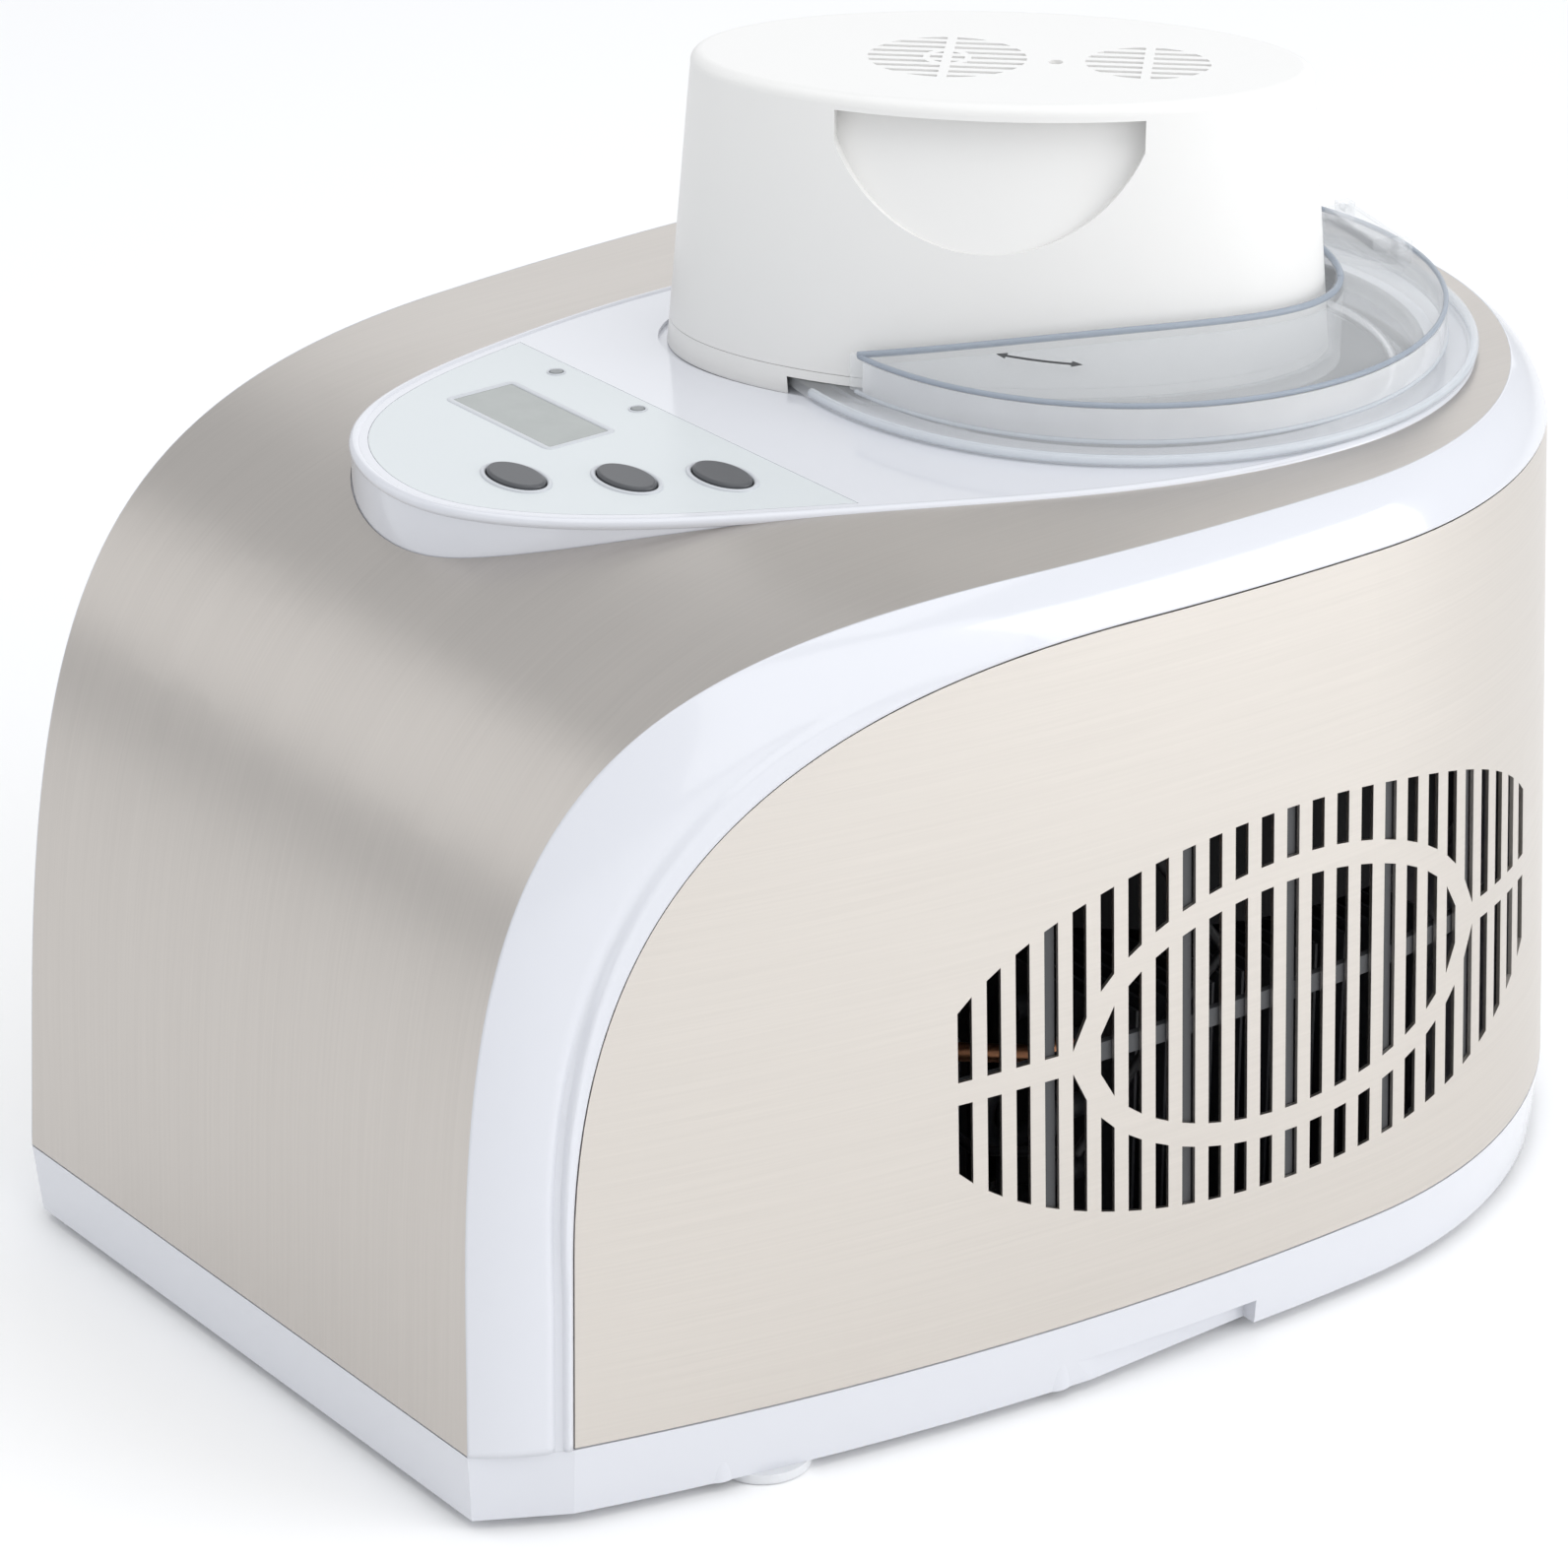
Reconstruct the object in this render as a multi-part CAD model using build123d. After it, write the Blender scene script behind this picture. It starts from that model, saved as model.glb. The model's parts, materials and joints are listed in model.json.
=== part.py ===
from build123d import *
from math import asin, atan2, cos, degrees, hypot, pi, radians, sin, sqrt, tan
import os

os.makedirs("parts", exist_ok=True)

# ---------------------------------------------------------------- driving dimensions (mm)
# Frame: front faces -Y, origin on the floor under the middle of the machine's box, +Z up.
# The sizes below are counted from the front seam (y = 0); SHIFT moves the result to the origin.

# casing
rear_radius = 142.5         # round rear end, at the seam with the base
rear_centre_y = 244.5       # centre of the round rear end
side_radius = 760.0         # long arcs of the two sides
side_front_y = 21.8         # where each side wall starts, behind the front
side_draft = 0.045          # the side walls lean in by this much per mm of height
crown_radius = 124.6        # round rear end of the raised middle, at its top
crown_side_radius = 814.0
crown_draft = 0.05
floor_gap = 3.0             # floor to the underside of the base
seam_z = 21.4               # top of the base, bottom of the casing
top_z = 213.5               # flat top of the front and top panel
side_top_z = top_z - 13.5   # top edge of the side panels
panel = 1.0                 # steel sheet
liner = 2.4                 # moulded casing behind the sheet
base_wall = 2.6
base_inset = 1.6            # the base is narrower at its underside
base_step_x = 136.0         # raised step in the lower edge of each side
base_step_z = 9.6
panel_gap = 0.4             # shadow gap round the side panels

# arch of the front and top panel, and of the side panels' edge, in side view
arch_start = (1.5, 60.0)
arch_end_y = 147.0
arch_pull = (120.8, 113.3)
side_arch_start = (23.4, 70.0)
side_arch_end_y = 170.7
side_arch_pull = (76.8, 111.5)

# feet
foot_radius = 12.0
foot_places = [(112.0, 75.0), (-112.0, 75.0), (116.0, 290.0), (-116.0, 290.0)]

# side vent
vent_pitch = 8.0            # along the wall
vent_slot = 3.9
vent_columns = 25
vent_first_y = 122.1
vent_z = 91.3
vent_half_length = 108.0
vent_half_height = 49.5
ring_half_length = 65.0
ring_half_height = 36.5
ring_band = 6.2
vent_bar = 5.8

# insert and control panel
insert_tip_y = 60.4
insert_flat_z = top_z + 0.5
insert_tip_z = insert_flat_z + 0.6
insert_flat_y = 173.0
insert_wall = 2.6
# outline of the teardrop, from the widest place on the left, round the tip, to the right
insert_line = [(-84.5, 262.0), (-84.6, 216.0), (-84.0, 176.0), (-78.8, 140.0), (-70.8, 108.0),
               (-60.4, 86.2), (-46.7, 71.8), (-30.0, 63.4), (-12.5, 60.4), (0.8, 62.0),
               (14.7, 68.8), (31.2, 83.8), (45.0, 103.0), (58.5, 127.0), (74.6, 158.0),
               (90.4, 190.4), (101.6, 223.0), (106.5, 262.0)]
cut_low = top_z - 28.5      # heights that every hole in the insert's top runs between
cut_high = top_z + 31.5
film_thickness = 0.5
film_margin = 4.2
film_rear_y = 143.0
film_radius = 7.0
display_box = (-52.6, 105.8, -11.2, 124.2)
led_places = [(-52.1, 137.6), (-19.1, 138.4)]
led_radius = 1.8
button_places = {"button_timer": (-0.2, 88.0), "button_start_stop": (16.8, 108.3),
                 "button_power": (29.2, 127.6)}
button_half = (9.6, 5.4)
button_gap = 0.35
button_travel = 1.0
button_proud = 1.2

# bowl, well and lid
bowl_x = 14.0
bowl_y = 266.0
bowl_radius = 72.0
bowl_wall = 1.5
bowl_rim_z = top_z - 9.5
bowl_floor_z = bowl_rim_z - 98.0
well_gap = 1.0
well_wall = 1.5
coil_tube = 3.0
coil_turns = 7
foam = 11.0
lid_radius = 91.0
lid_wall_radius = lid_radius - 8.0
lid_wall = 2.0
lid_seat_gap = 0.3
lid_flange = 2.8
lid_shoulder_z = insert_flat_z + 12.6
lid_slope = 0.32

# drive unit
drive_y = 237.6
drive_turn = 45.5           # the oval's long axis, from +X
drive_foot_oval = (84.0, 47.0)
drive_top_oval = (77.4, 39.0)
drive_top_z = insert_flat_z + 76.0
drive_wall = 2.4
drive_gap = 1.0             # round the drive unit in the lid
scoop_half = 38.0
scoop_drop = 33.0
scoop_depth = 7.5

# gears
shaft_radius = 5.0
fit = 0.06                  # radial clearance of a running fit
air = 0.3                   # clearance between pieces that move past each other
pinion_teeth = 12
large_teeth = 40
small_teeth = 12
output_teeth = 34
motor_along = -38.0         # motor shaft, along the oval from its centre

body_length = rear_centre_y + rear_radius
SHIFT = Location((0, -body_length / 2, 0))


# ---------------------------------------------------------------- helpers
def save(name, *shapes):
    solids = []
    for shape in shapes:
        solids += list(shape.solids()) if hasattr(shape, "solids") else list(shape)
    solids = [s.moved(SHIFT) for s in solids]
    whole = solids[0] if len(solids) == 1 else Compound(children=solids)
    whole.label = name
    export_step(whole, "parts/" + name + ".step")


def cylinder(radius, x, y, low, high):
    return Pos(x, y, low) * Cylinder(radius, high - low, align=(Align.CENTER, Align.CENTER, Align.MIN))


def ring(outer, inner, x, y, low, high):
    return cylinder(outer, x, y, low, high) - cylinder(inner, x, y, low - 1, high + 1)


def block(low, high):
    size = [b - a for a, b in zip(low, high)]
    return Pos(*low) * Box(*size, align=(Align.MIN, Align.MIN, Align.MIN))


def rod_x(radius, y, z, low, high):
    return Pos(low, y, z) * Rot(0, 90, 0) * Cylinder(radius, high - low,
                                                     align=(Align.CENTER, Align.CENTER, Align.MIN))


def rod_y(radius, x, z, low, high):
    return Pos(x, low, z) * Rot(-90, 0, 0) * Cylinder(radius, high - low,
                                                      align=(Align.CENTER, Align.CENTER, Align.MIN))


def prism(points, low, high):
    face = Pos(0, 0, low) * Polygon(*points, align=None)
    return extrude(face, amount=high - low, dir=(0, 0, 1))


def joined(shapes):
    shapes = list(shapes)
    whole = shapes[0]
    return whole if len(shapes) == 1 else whole.fuse(*shapes[1:])


# ---------------------------------------------------------------- outlines of the casing
def half_width(y, z, radius, bend, draft, base_z):
    """Half width of a plan outline: a long side arc that runs into the round rear end."""
    r = radius - draft * (z - base_z)
    if y >= rear_centre_y:
        return sqrt(max(r * r - (y - rear_centre_y) ** 2, 0))
    return r - (bend - sqrt(bend ** 2 - (rear_centre_y - y) ** 2))


def wall_x(y, z):
    return half_width(y, z, rear_radius, side_radius, side_draft, seam_z)


def crown_x(y, z):
    return half_width(y, z, crown_radius, crown_side_radius, crown_draft, top_z)


def outline(front_y, width, z, inset, rear):
    """Closed plan outline at height z: front line, two side arcs and the round rear end."""
    y0 = front_y + inset
    mid = (y0 + rear_centre_y) / 2
    xf, xm = width(y0, z) - inset, width(mid, z) - inset
    r = rear - inset
    right = [(xf, y0, z), (xm, mid, z), (r, rear_centre_y, z)]
    left = [(-x, y, q) for x, y, q in right]
    return Wire([Edge.make_line(left[0], right[0]),
                 Edge.make_three_point_arc(*right),
                 Edge.make_three_point_arc(right[2], (0, rear_centre_y + r, z), left[2]),
                 Edge.make_three_point_arc(left[2], left[1], left[0])])


def wall_prism(low, high, inset=0.0):
    wires = [outline(side_front_y - 5, wall_x, z, inset, rear_radius - side_draft * (z - seam_z))
             for z in (low, high)]
    return Solid.make_loft(wires, ruled=True)


def crown_prism(low, high, inset=0.0):
    wires = [outline(-5, crown_x, z, inset, crown_radius - crown_draft * (z - top_z))
             for z in (low, high)]
    return Solid.make_loft(wires, ruled=True)


def arch_points(start, end_y, pull, high, inset):
    y, z = start
    return [(y + inset, z), (y + inset + 0.04 * pull[0], z + pull[0]),
            (end_y - pull[1], high - inset), (end_y, high - inset)]


def arch_prism(start, end_y, pull, high, low, inset=0.0):
    """Everything behind and below an arch seen from the side."""
    x = -200
    pts = [(x, y, z) for y, z in arch_points(start, end_y, pull, high, inset)]
    front = start[0] - 0.04 * (start[1] - low) + inset
    foot, rear = (x, front, low), body_length + 20
    edges = [Edge.make_line(foot, pts[0]), Edge.make_bezier(*pts),
             Edge.make_line(pts[3], (x, rear, high - inset)),
             Edge.make_line((x, rear, high - inset), (x, rear, low)),
             Edge.make_line((x, rear, low), foot)]
    return extrude(Face(Wire(edges)), amount=400, dir=(1, 0, 0))


def crown_arch(low, inset=0.0):
    return arch_prism(arch_start, arch_end_y, arch_pull, top_z, low, inset)


def side_arch(low, inset=0.0):
    return arch_prism(side_arch_start, side_arch_end_y, side_arch_pull, side_top_z, low, inset)


def crown_body(inset=0.0, low=seam_z):
    return crown_prism(low, top_z + 5, inset) & crown_arch(low, inset)


def side_body(inset=0.0, low=seam_z):
    return wall_prism(low, side_top_z + 5, inset) & side_arch(low, inset)


# ---------------------------------------------------------------- the white strip between the panels
def bezier(points, t):
    a, b, c, d = points
    k = [(1 - t) ** 3, 3 * (1 - t) ** 2 * t, 3 * (1 - t) * t * t, t ** 3]
    return [sum(w * p[i] for w, p in zip(k, (a, b, c, d))) for i in (0, 1)]


def arch_line(start, end_y, pull, high, stations):
    """Points (y, z) along an arch: up the front, round the bend, and back to the rear centre."""
    straight, bend, back = stations
    curve = arch_points(start, end_y, pull, high, 0)
    line = []
    for i in range(straight):
        z = seam_z + (start[1] - seam_z) * i / straight
        line.append((start[0] - 0.04 * (start[1] - z), z))
    line += [tuple(bezier(curve, i / bend)) for i in range(bend)]
    line += [(end_y + (rear_centre_y - end_y) * i / back, high) for i in range(back + 1)]
    return line


def strip_band(side):
    """The strip as a three-cornered bar, lofted along the arch from the seam to the rear centre."""
    stations = (2, 10, 3)
    outer = arch_line(arch_start, arch_end_y, arch_pull, top_z, stations)
    inner = arch_line(side_arch_start, side_arch_end_y, side_arch_pull, side_top_z, stations)
    wires = []
    for (y1, z1), (y2, z2) in zip(outer, inner):
        x1, x2 = crown_x(y1, z1), wall_x(y2, z2)
        run = hypot(y2 - y1, z2 - z1)
        dy, dz = (y2 - y1) / run, (z2 - z1) / run
        root = (x1 - 3.0, y2 + 3.0 * dy, z2 + 3.0 * dz)
        corners = [(x1, y1, z1), (x2, y2, z2), root]
        wires.append(Wire.make_polygon([(side * x, y, z) for x, y, z in corners], close=True))
    return Solid.make_loft(wires, ruled=True)


def strip_rear():
    """The strip round the rear end: the same three corners, turned half a turn."""
    x1, x2 = crown_radius, wall_x(rear_centre_y, side_top_z)
    corners = [(x1, top_z), (x2, side_top_z), (x1 - 3.0, side_top_z - 3.0)]
    pts = [(x, rear_centre_y, z) for x, z in corners]
    face = Face(Wire.make_polygon(pts, close=True))
    axis = Axis((0, rear_centre_y, 0), (0, 0, 1))
    return revolve(face, axis, 180)


# ---------------------------------------------------------------- teardrop insert
def insert_edge(inset):
    """Teardrop outline: round nose at the front, sides that open out, round rear end."""
    first, last = insert_line[0], insert_line[-1]
    ends = [(first[0], first[1] + 10)] + insert_line + [(last[0], last[1] + 10)]
    pts = []
    for (xa, ya), (x, y), (xb, yb) in zip(ends, ends[1:], ends[2:]):
        run = hypot(xb - xa, yb - ya)
        pts.append((x - inset * (yb - ya) / run, y + inset * (xb - xa) / run, 0))
    (x0, y0, _), (x1, y1, _) = (first[0] + inset, first[1], 0), (last[0] - inset, last[1], 0)
    pts[0], pts[-1] = (x0, y0, 0), (x1, y1, 0)
    front = Edge.make_spline(pts, tangents=[(0, -1, 0), (0, 1, 0)])
    back = Edge.make_three_point_arc((x1, y1, 0), ((x0 + x1) / 2, y1 + (x1 - x0) / 2, 0), (x0, y0, 0))
    return Face(Wire([front, back]))


def insert_prism(low, high, inset=0.0):
    return extrude(Pos(0, 0, low) * insert_edge(inset), amount=high - low, dir=(0, 0, 1))


insert_slope = (insert_tip_z - insert_flat_z) / (insert_flat_y - insert_tip_y)


def insert_top(y):
    """Height of the insert's top face: it falls gently to the flat round the bowl."""
    return max(insert_flat_z, insert_tip_z - insert_slope * (y - insert_tip_y))


def under_slope(drop, low):
    """Everything below the insert's top face, lowered by drop."""
    front, rear, x = insert_tip_y - 10, body_length, 150
    pts = [(front, low), (front, insert_top(front) - drop), (insert_flat_y, insert_flat_z - drop),
           (rear, insert_flat_z - drop), (rear, low)]
    face = Face(Wire.make_polygon([(-x, y, z) for y, z in pts], close=True))
    return extrude(face, amount=2 * x, dir=(1, 0, 0))


def film_prism(low, high, inset=0.0):
    shape = insert_prism(low, high, film_margin + inset)
    return shape & block((-150, 0, low), (150, film_rear_y - inset, high))


def oval(half, x, y, low, high):
    face = Pos(x, y, low) * Ellipse(*half)
    return extrude(face, amount=high - low, dir=(0, 0, 1))


# ---------------------------------------------------------------- drive unit oval
foot_z = insert_flat_z + lid_seat_gap + lid_flange + air
pocket_depth = 1.2
oval_skirt_z = insert_flat_z - pocket_depth + air


def drive_oval(z, grow=0.0):
    share = (z - oval_skirt_z) / (drive_top_z - oval_skirt_z)
    return [a + (b - a) * share + grow for a, b in zip(drive_foot_oval, drive_top_oval)]


def drive_loft(low, high, grow=0.0):
    wires = []
    for z in (low, high):
        a, b = drive_oval(z, grow)
        plane = Plane((0, drive_y, z), x_dir=(cos(radians(drive_turn)), sin(radians(drive_turn)), 0))
        wires.append(Wire([Edge.make_ellipse(a, b, plane)]))
    return Solid.make_loft(wires, ruled=True)


def along(u, v=0.0):
    """Plan point u along the oval's long axis and v towards its front side."""
    t = radians(drive_turn)
    return (u * cos(t) + v * sin(t), drive_y + u * sin(t) - v * cos(t))


def in_drive(u, v, z):
    return Pos(*along(u, v), z) * Rot(0, 0, drive_turn)


# ---------------------------------------------------------------- casing nodes
def ellipse_z(s, length, height):
    return height * sqrt(max(1 - (s / length) ** 2, 0))


def slot_outlines(s):
    """The openings of one column, as outlines (distance along the wall, height)."""
    edges = []
    for e in (s - vent_slot / 2, s + vent_slot / 2):
        outer = ellipse_z(e, vent_half_length, vent_half_height)
        ring_out = ellipse_z(e, ring_half_length, ring_half_height)
        ring_in = ellipse_z(e, ring_half_length - ring_band, ring_half_height - ring_band)
        edges.append((e, outer, ring_out, ring_in))
    (a, outer_a, out_a, in_a), (b, outer_b, out_b, in_b) = edges
    pieces = []
    if abs(s) > ring_half_length - 3:
        low_a, low_b = max(out_a, vent_bar / 2), max(out_b, vent_bar / 2)
        pieces.append((low_a, outer_a, low_b, outer_b))
    else:
        pieces.append((out_a, outer_a, out_b, outer_b))
        if min(in_a, in_b) > 4:
            pieces.append((-in_a, in_a, -in_b, in_b))
    shapes = []
    for low_a, high_a, low_b, high_b in pieces:
        shapes.append([(a, low_a), (b, low_b), (b, high_b), (a, high_a)])
        if low_a > 0:
            shapes.append([(a, -high_a), (b, -high_b), (b, -low_b), (a, -low_a)])
    return shapes


def wall_frame(y, z):
    """A frame on the right-hand wall: local X outwards, local Y back along the wall."""
    offset = y - rear_centre_y
    turn = degrees(asin(offset / (rear_radius if offset > 0 else side_radius)))
    return Pos(wall_x(y, z), y, z) * Rot(0, 0, turn)


def column_places():
    """The columns of the side vent, at equal steps along the wall."""
    y = vent_first_y
    places = []
    for i in range(vent_columns):
        places.append(((i - (vent_columns - 1) / 2) * vent_pitch, y))
        offset = y - rear_centre_y
        y += vent_pitch * sqrt(1 - (offset / (rear_radius if offset > 0 else side_radius)) ** 2)
    return places


def vent_cutter(deep=8.0):
    """All the slots of one side vent as cutting bodies, on the +X side."""
    cutters = []
    for s, y in column_places():
        place = wall_frame(y, vent_z)
        for shape in slot_outlines(s):
            wire = Wire.make_polygon([(-deep, e - s, z) for e, z in shape], close=True)
            cutters.append(place * extrude(Face(wire), amount=2 * deep, dir=(1, 0, 0)))
    return cutters


rear_gap_half = 52.0        # half width of the rear cover


def side_panel(side):
    sheet = side_body(0) - wall_prism(seam_z - 2, side_top_z + 8, panel)
    sheet = sheet & side_arch(seam_z, panel_gap)
    keep = block((50, 0, seam_z + panel_gap), (200, rear_centre_y, 300))
    keep += block((rear_gap_half + panel_gap, rear_centre_y - 1, seam_z + panel_gap), (200, 400, 300))
    sheet = sheet & keep
    sheet = sheet.cut(*vent_cutter())
    if side < 0:
        sheet = mirror(sheet, Plane.YZ)
    return sheet


def front_top_panel():
    sheet = crown_body(0) - crown_arch(seam_z - 2, panel)
    sheet = sheet & block((-200, -5, seam_z + panel_gap), (200, 400, 300))
    return sheet - insert_prism(top_z - 40, top_z + 5, -0.3)


def rear_cover():
    sheet = side_body(0) - wall_prism(seam_z - 2, side_top_z + 8, liner)
    keep = block((-rear_gap_half, rear_centre_y, seam_z + panel_gap), (rear_gap_half, 400, 300))
    sheet = sheet & keep & side_arch(seam_z, panel_gap)
    slots = []
    for i in range(9):
        z = 70 + 9.0 * i
        slots.append(block((-36, rear_centre_y + 80, z), (36, 400, z + 3.6)))
    slots.append(inlet_place * block((-15.2, -12, -10.7), (15.2, 12, 10.7)))
    return sheet.cut(*slots)


def inner_void(inset):
    """The hollow of the casing."""
    return crown_body(inset, seam_z - 1), side_body(inset, seam_z - 1)


def window(side):
    """Opening in the moulded casing behind a side vent."""
    low, high = vent_z - vent_half_height - 3, vent_z + vent_half_height + 3
    hole = block((30, vent_first_y - 7, low), (160, rear_centre_y + 76, high))
    return hole if side > 0 else mirror(hole, Plane.YZ)


def housing_frame():
    shell = joined([crown_body(panel), side_body(panel), strip_band(1), strip_band(-1), strip_rear()])
    shell = shell.cut(*inner_void(panel + liner))
    sheet = crown_body(0) - crown_arch(seam_z - 2, panel)
    shell = shell - sheet
    sides = side_body(0) - wall_prism(seam_z - 2, side_top_z + 8, panel)
    shell = shell - sides
    rear_hole = block((-rear_gap_half + 6, rear_centre_y + 60, 30), (rear_gap_half - 6, 400, 170))
    cover_seat = side_body(0) - wall_prism(seam_z - 2, side_top_z + 8, liner)
    cover_seat = cover_seat & block((-rear_gap_half - panel_gap, rear_centre_y, seam_z),
                                    (rear_gap_half + panel_gap, 400, 300))
    hole = insert_prism(top_z - 60, top_z + 8, insert_wall - 0.6)
    round_hole = cylinder(opening_radius + insert_wall + air, bowl_x, bowl_y, top_z - 20, top_z + 5)
    shell = shell.cut(hole, round_hole, window(1), window(-1), rear_hole, cover_seat)
    shell = max(shell.solids(), key=lambda s: s.volume)
    posts = [cylinder(4.0, x, y, seam_z, base_post_z + 20) for x, y in base_screw_places]
    posts += [cylinder(3.0, x, y, base_post_z, seam_z + 1) for x, y in base_screw_places]
    holes = [cylinder(screw_radius + 0.05, x, y, base_post_z - 1, base_post_z + 14)
             for x, y in base_screw_places]
    return joined([shell] + posts).cut(*holes)


base_screw_places = [(129.6, 150.0), (-129.6, 150.0), (112.4, 60.0), (-112.4, 60.0),
                     (90.5, 345.3), (-90.5, 345.3)]
base_post_z = 16.0
screw_radius = 1.6


def base_outline(z, inset):
    """Outline of the base: front edge, corner chamfers, side arcs and round rear end."""
    r = rear_radius - inset
    x0 = crown_x(0, seam_z) - inset * 0.7
    y0 = inset
    x1, y1 = wall_x(side_front_y, seam_z) - inset, side_front_y + inset * 0.4
    mid = (y1 + rear_centre_y) / 2
    xm = wall_x(mid, seam_z) - inset
    right = [(x0, y0, z), (x1, y1, z), (xm, mid, z), (r, rear_centre_y, z)]
    left = [(-x, y, q) for x, y, q in right]
    return Wire([Edge.make_line(left[0], right[0]), Edge.make_line(right[0], right[1]),
                 Edge.make_three_point_arc(right[1], right[2], right[3]),
                 Edge.make_three_point_arc(right[3], (0, rear_centre_y + r, z), left[3]),
                 Edge.make_three_point_arc(left[3], left[2], left[1]),
                 Edge.make_line(left[1], left[0])])


def base_tray():
    tray = Solid.make_loft([base_outline(floor_gap, base_inset), base_outline(seam_z - 0.1, 0)], ruled=True)
    floor = floor_gap + base_wall
    hollow = Solid.make_loft([base_outline(floor, base_inset + base_wall),
                              base_outline(seam_z + 1, base_wall)], ruled=True)
    tray = tray - hollow
    cuts = []
    for side in (-1, 1):
        low, high = sorted((side * (base_step_x - base_wall), side * 140))
        backing = block((low, 125 - base_wall, floor), (high, 208 + base_wall, base_step_z + base_wall))
        tray += backing & Solid.make_loft([base_outline(floor_gap, base_inset), base_outline(seam_z - 0.1, 0)],
                                          ruled=True)
        low, high = sorted((side * base_step_x, side * 160))
        cuts.append(block((low, 125, floor_gap - 1), (high, 208, base_step_z)))
    for i in range(11):
        x = -50 + 10 * i
        cuts.append(block((x - 2, 190, 0), (x + 2, 250, floor + 1)))
    for x, y in foot_places:
        cuts.append(cylinder(4.1, x, y, 0, floor + 1))
    for x, y in base_screw_places:
        tray += cylinder(6.0, x, y, floor_gap, base_post_z)
        cuts.append(cylinder(screw_radius + 0.1, x, y, 0, base_post_z + 1))
        cuts.append(cylinder(screw_head + 0.4, x, y, 0, floor_gap + 4))
    return tray.cut(*cuts)


screw_head = 3.2


def base_screws():
    screws = []
    for x, y in base_screw_places:
        head = cylinder(screw_head, x, y, floor_gap + 1.6, floor_gap + 4)
        head -= block((x - 2.2, y - 0.4, floor_gap), (x + 2.2, y + 0.4, floor_gap + 2.4))
        screws.append(head + cylinder(screw_radius, x, y, floor_gap + 3, base_post_z + 12))
    return screws


def rubber_feet():
    feet = []
    for x, y in foot_places:
        foot = cylinder(foot_radius, x, y, 0, floor_gap)
        foot = fillet(foot.edges().sort_by(Axis.Z)[0], 1.0)
        feet.append(foot + cylinder(4.0, x, y, floor_gap - 0.1, floor_gap + base_wall + 1.5))
    return feet


# ---------------------------------------------------------------- insert, film, display, buttons
opening_radius = bowl_radius + bowl_wall + well_gap + 3.5


def button_cut(place, grow, low, high):
    return oval([h + grow for h in button_half], *place, low, high)


def insert_seat():
    """The part of the moulded casing that the insert's edge stands on."""
    return crown_arch(seam_z, panel) - insert_prism(top_z - 70, top_z + 9, insert_wall)


def top_insert():
    body = insert_prism(top_z - 40, insert_tip_z + 2) & under_slope(0, top_z - 60)
    hollow = insert_prism(top_z - 45, insert_tip_z + 2, insert_wall) & under_slope(insert_wall, top_z - 60)
    body = body.cut(hollow, insert_seat())
    recess = film_prism(cut_low, cut_high) & (insert_prism(cut_low, cut_high) - under_slope(film_thickness, cut_low - 10))
    cuts = [recess, cylinder(opening_radius, bowl_x, bowl_y, cut_low, cut_high),
            drive_loft(insert_flat_z - pocket_depth, drive_top_z, 2.4),
            block((display_box[0] + 2, display_box[1] + 2, cut_low), (display_box[2] - 2, display_box[3] - 2, cut_high)),
            in_drive(plug_along, 0, cut_low) * block((-8, -5, 0), (8, 5, 50))]
    cuts += [button_cut(place, button_gap, cut_low, cut_high) for place in button_places.values()]
    cuts += [cylinder(led_radius + 0.1, x, y, cut_low, cut_high) for x, y in led_places]
    body = body.cut(*cuts)
    collar = ring(opening_radius + insert_wall, opening_radius, bowl_x, bowl_y, top_z - 8, insert_flat_z)
    return body + (collar & insert_prism(150, 240, 0.1))


def control_film():
    film = film_prism(cut_low, cut_high, 0.15) & under_slope(0, cut_low - 10) & (insert_prism(cut_low, cut_high) - under_slope(
        film_thickness, cut_low - 20))
    cuts = [block((display_box[0], display_box[1], cut_low), (display_box[2], display_box[3], cut_high))]
    cuts += [button_cut(place, button_gap, cut_low, cut_high) for place in button_places.values()]
    cuts += [cylinder(led_radius + 0.1, x, y, cut_low, cut_high) for x, y in led_places]
    return film.cut(*cuts)


def display_window():
    gap = 0.1
    box = block((display_box[0] + gap, display_box[1] + gap, cut_low),
                (display_box[2] - gap, display_box[3] - gap, cut_high))
    return box & under_slope(0.05, cut_low - 10) & (insert_prism(cut_low, cut_high) - under_slope(film_thickness, cut_low - 20))


board_z = insert_flat_z - 14.0


def control_board():
    board = block((-60, 74, board_z), (42, 142, board_z + 1.6))
    board = board & insert_prism(board_z - 5, board_z + 5, insert_wall + 2)
    posts = [cylinder(2.4, x, y, board_z + 1.6, insert_top(y + 2.4) - insert_wall)
             for x, y in ((-56, 100), (-28, 84), (30, 139))]
    return joined([board] + posts)


def lcd_module():
    low = board_z + 1.6
    box = block((display_box[0] + 2.3, display_box[1] + 2.3, low),
                (display_box[2] - 2.3, display_box[3] - 2.3, insert_top(display_box[3]) - film_thickness - 0.4))
    return box


def led_lenses():
    lenses = []
    for x, y in led_places:
        lens = cylinder(led_radius, x, y, board_z + 1.6, insert_top(y) + 0.3)
        lenses.append(fillet(lens.edges().sort_by(Axis.Z)[-1], 0.5))
    return lenses


def button(place):
    x, y = place
    top = insert_top(y) + button_proud
    cap = oval(button_half, x, y, top - 4.0, top)
    cap = fillet(cap.edges().sort_by(Axis.Z)[-1], 0.8)
    skirt = oval([h + 1.6 for h in button_half], x, y, top - 6.2, top - 5.0)
    neck = oval(button_half, x, y, top - 5.2, top - 3.9)
    stem = cylinder(2.2, x, y, switch_top, top - 6.0)
    return joined([cap, neck, skirt, stem])


switch_top = board_z + 1.6 + 4.3


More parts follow.
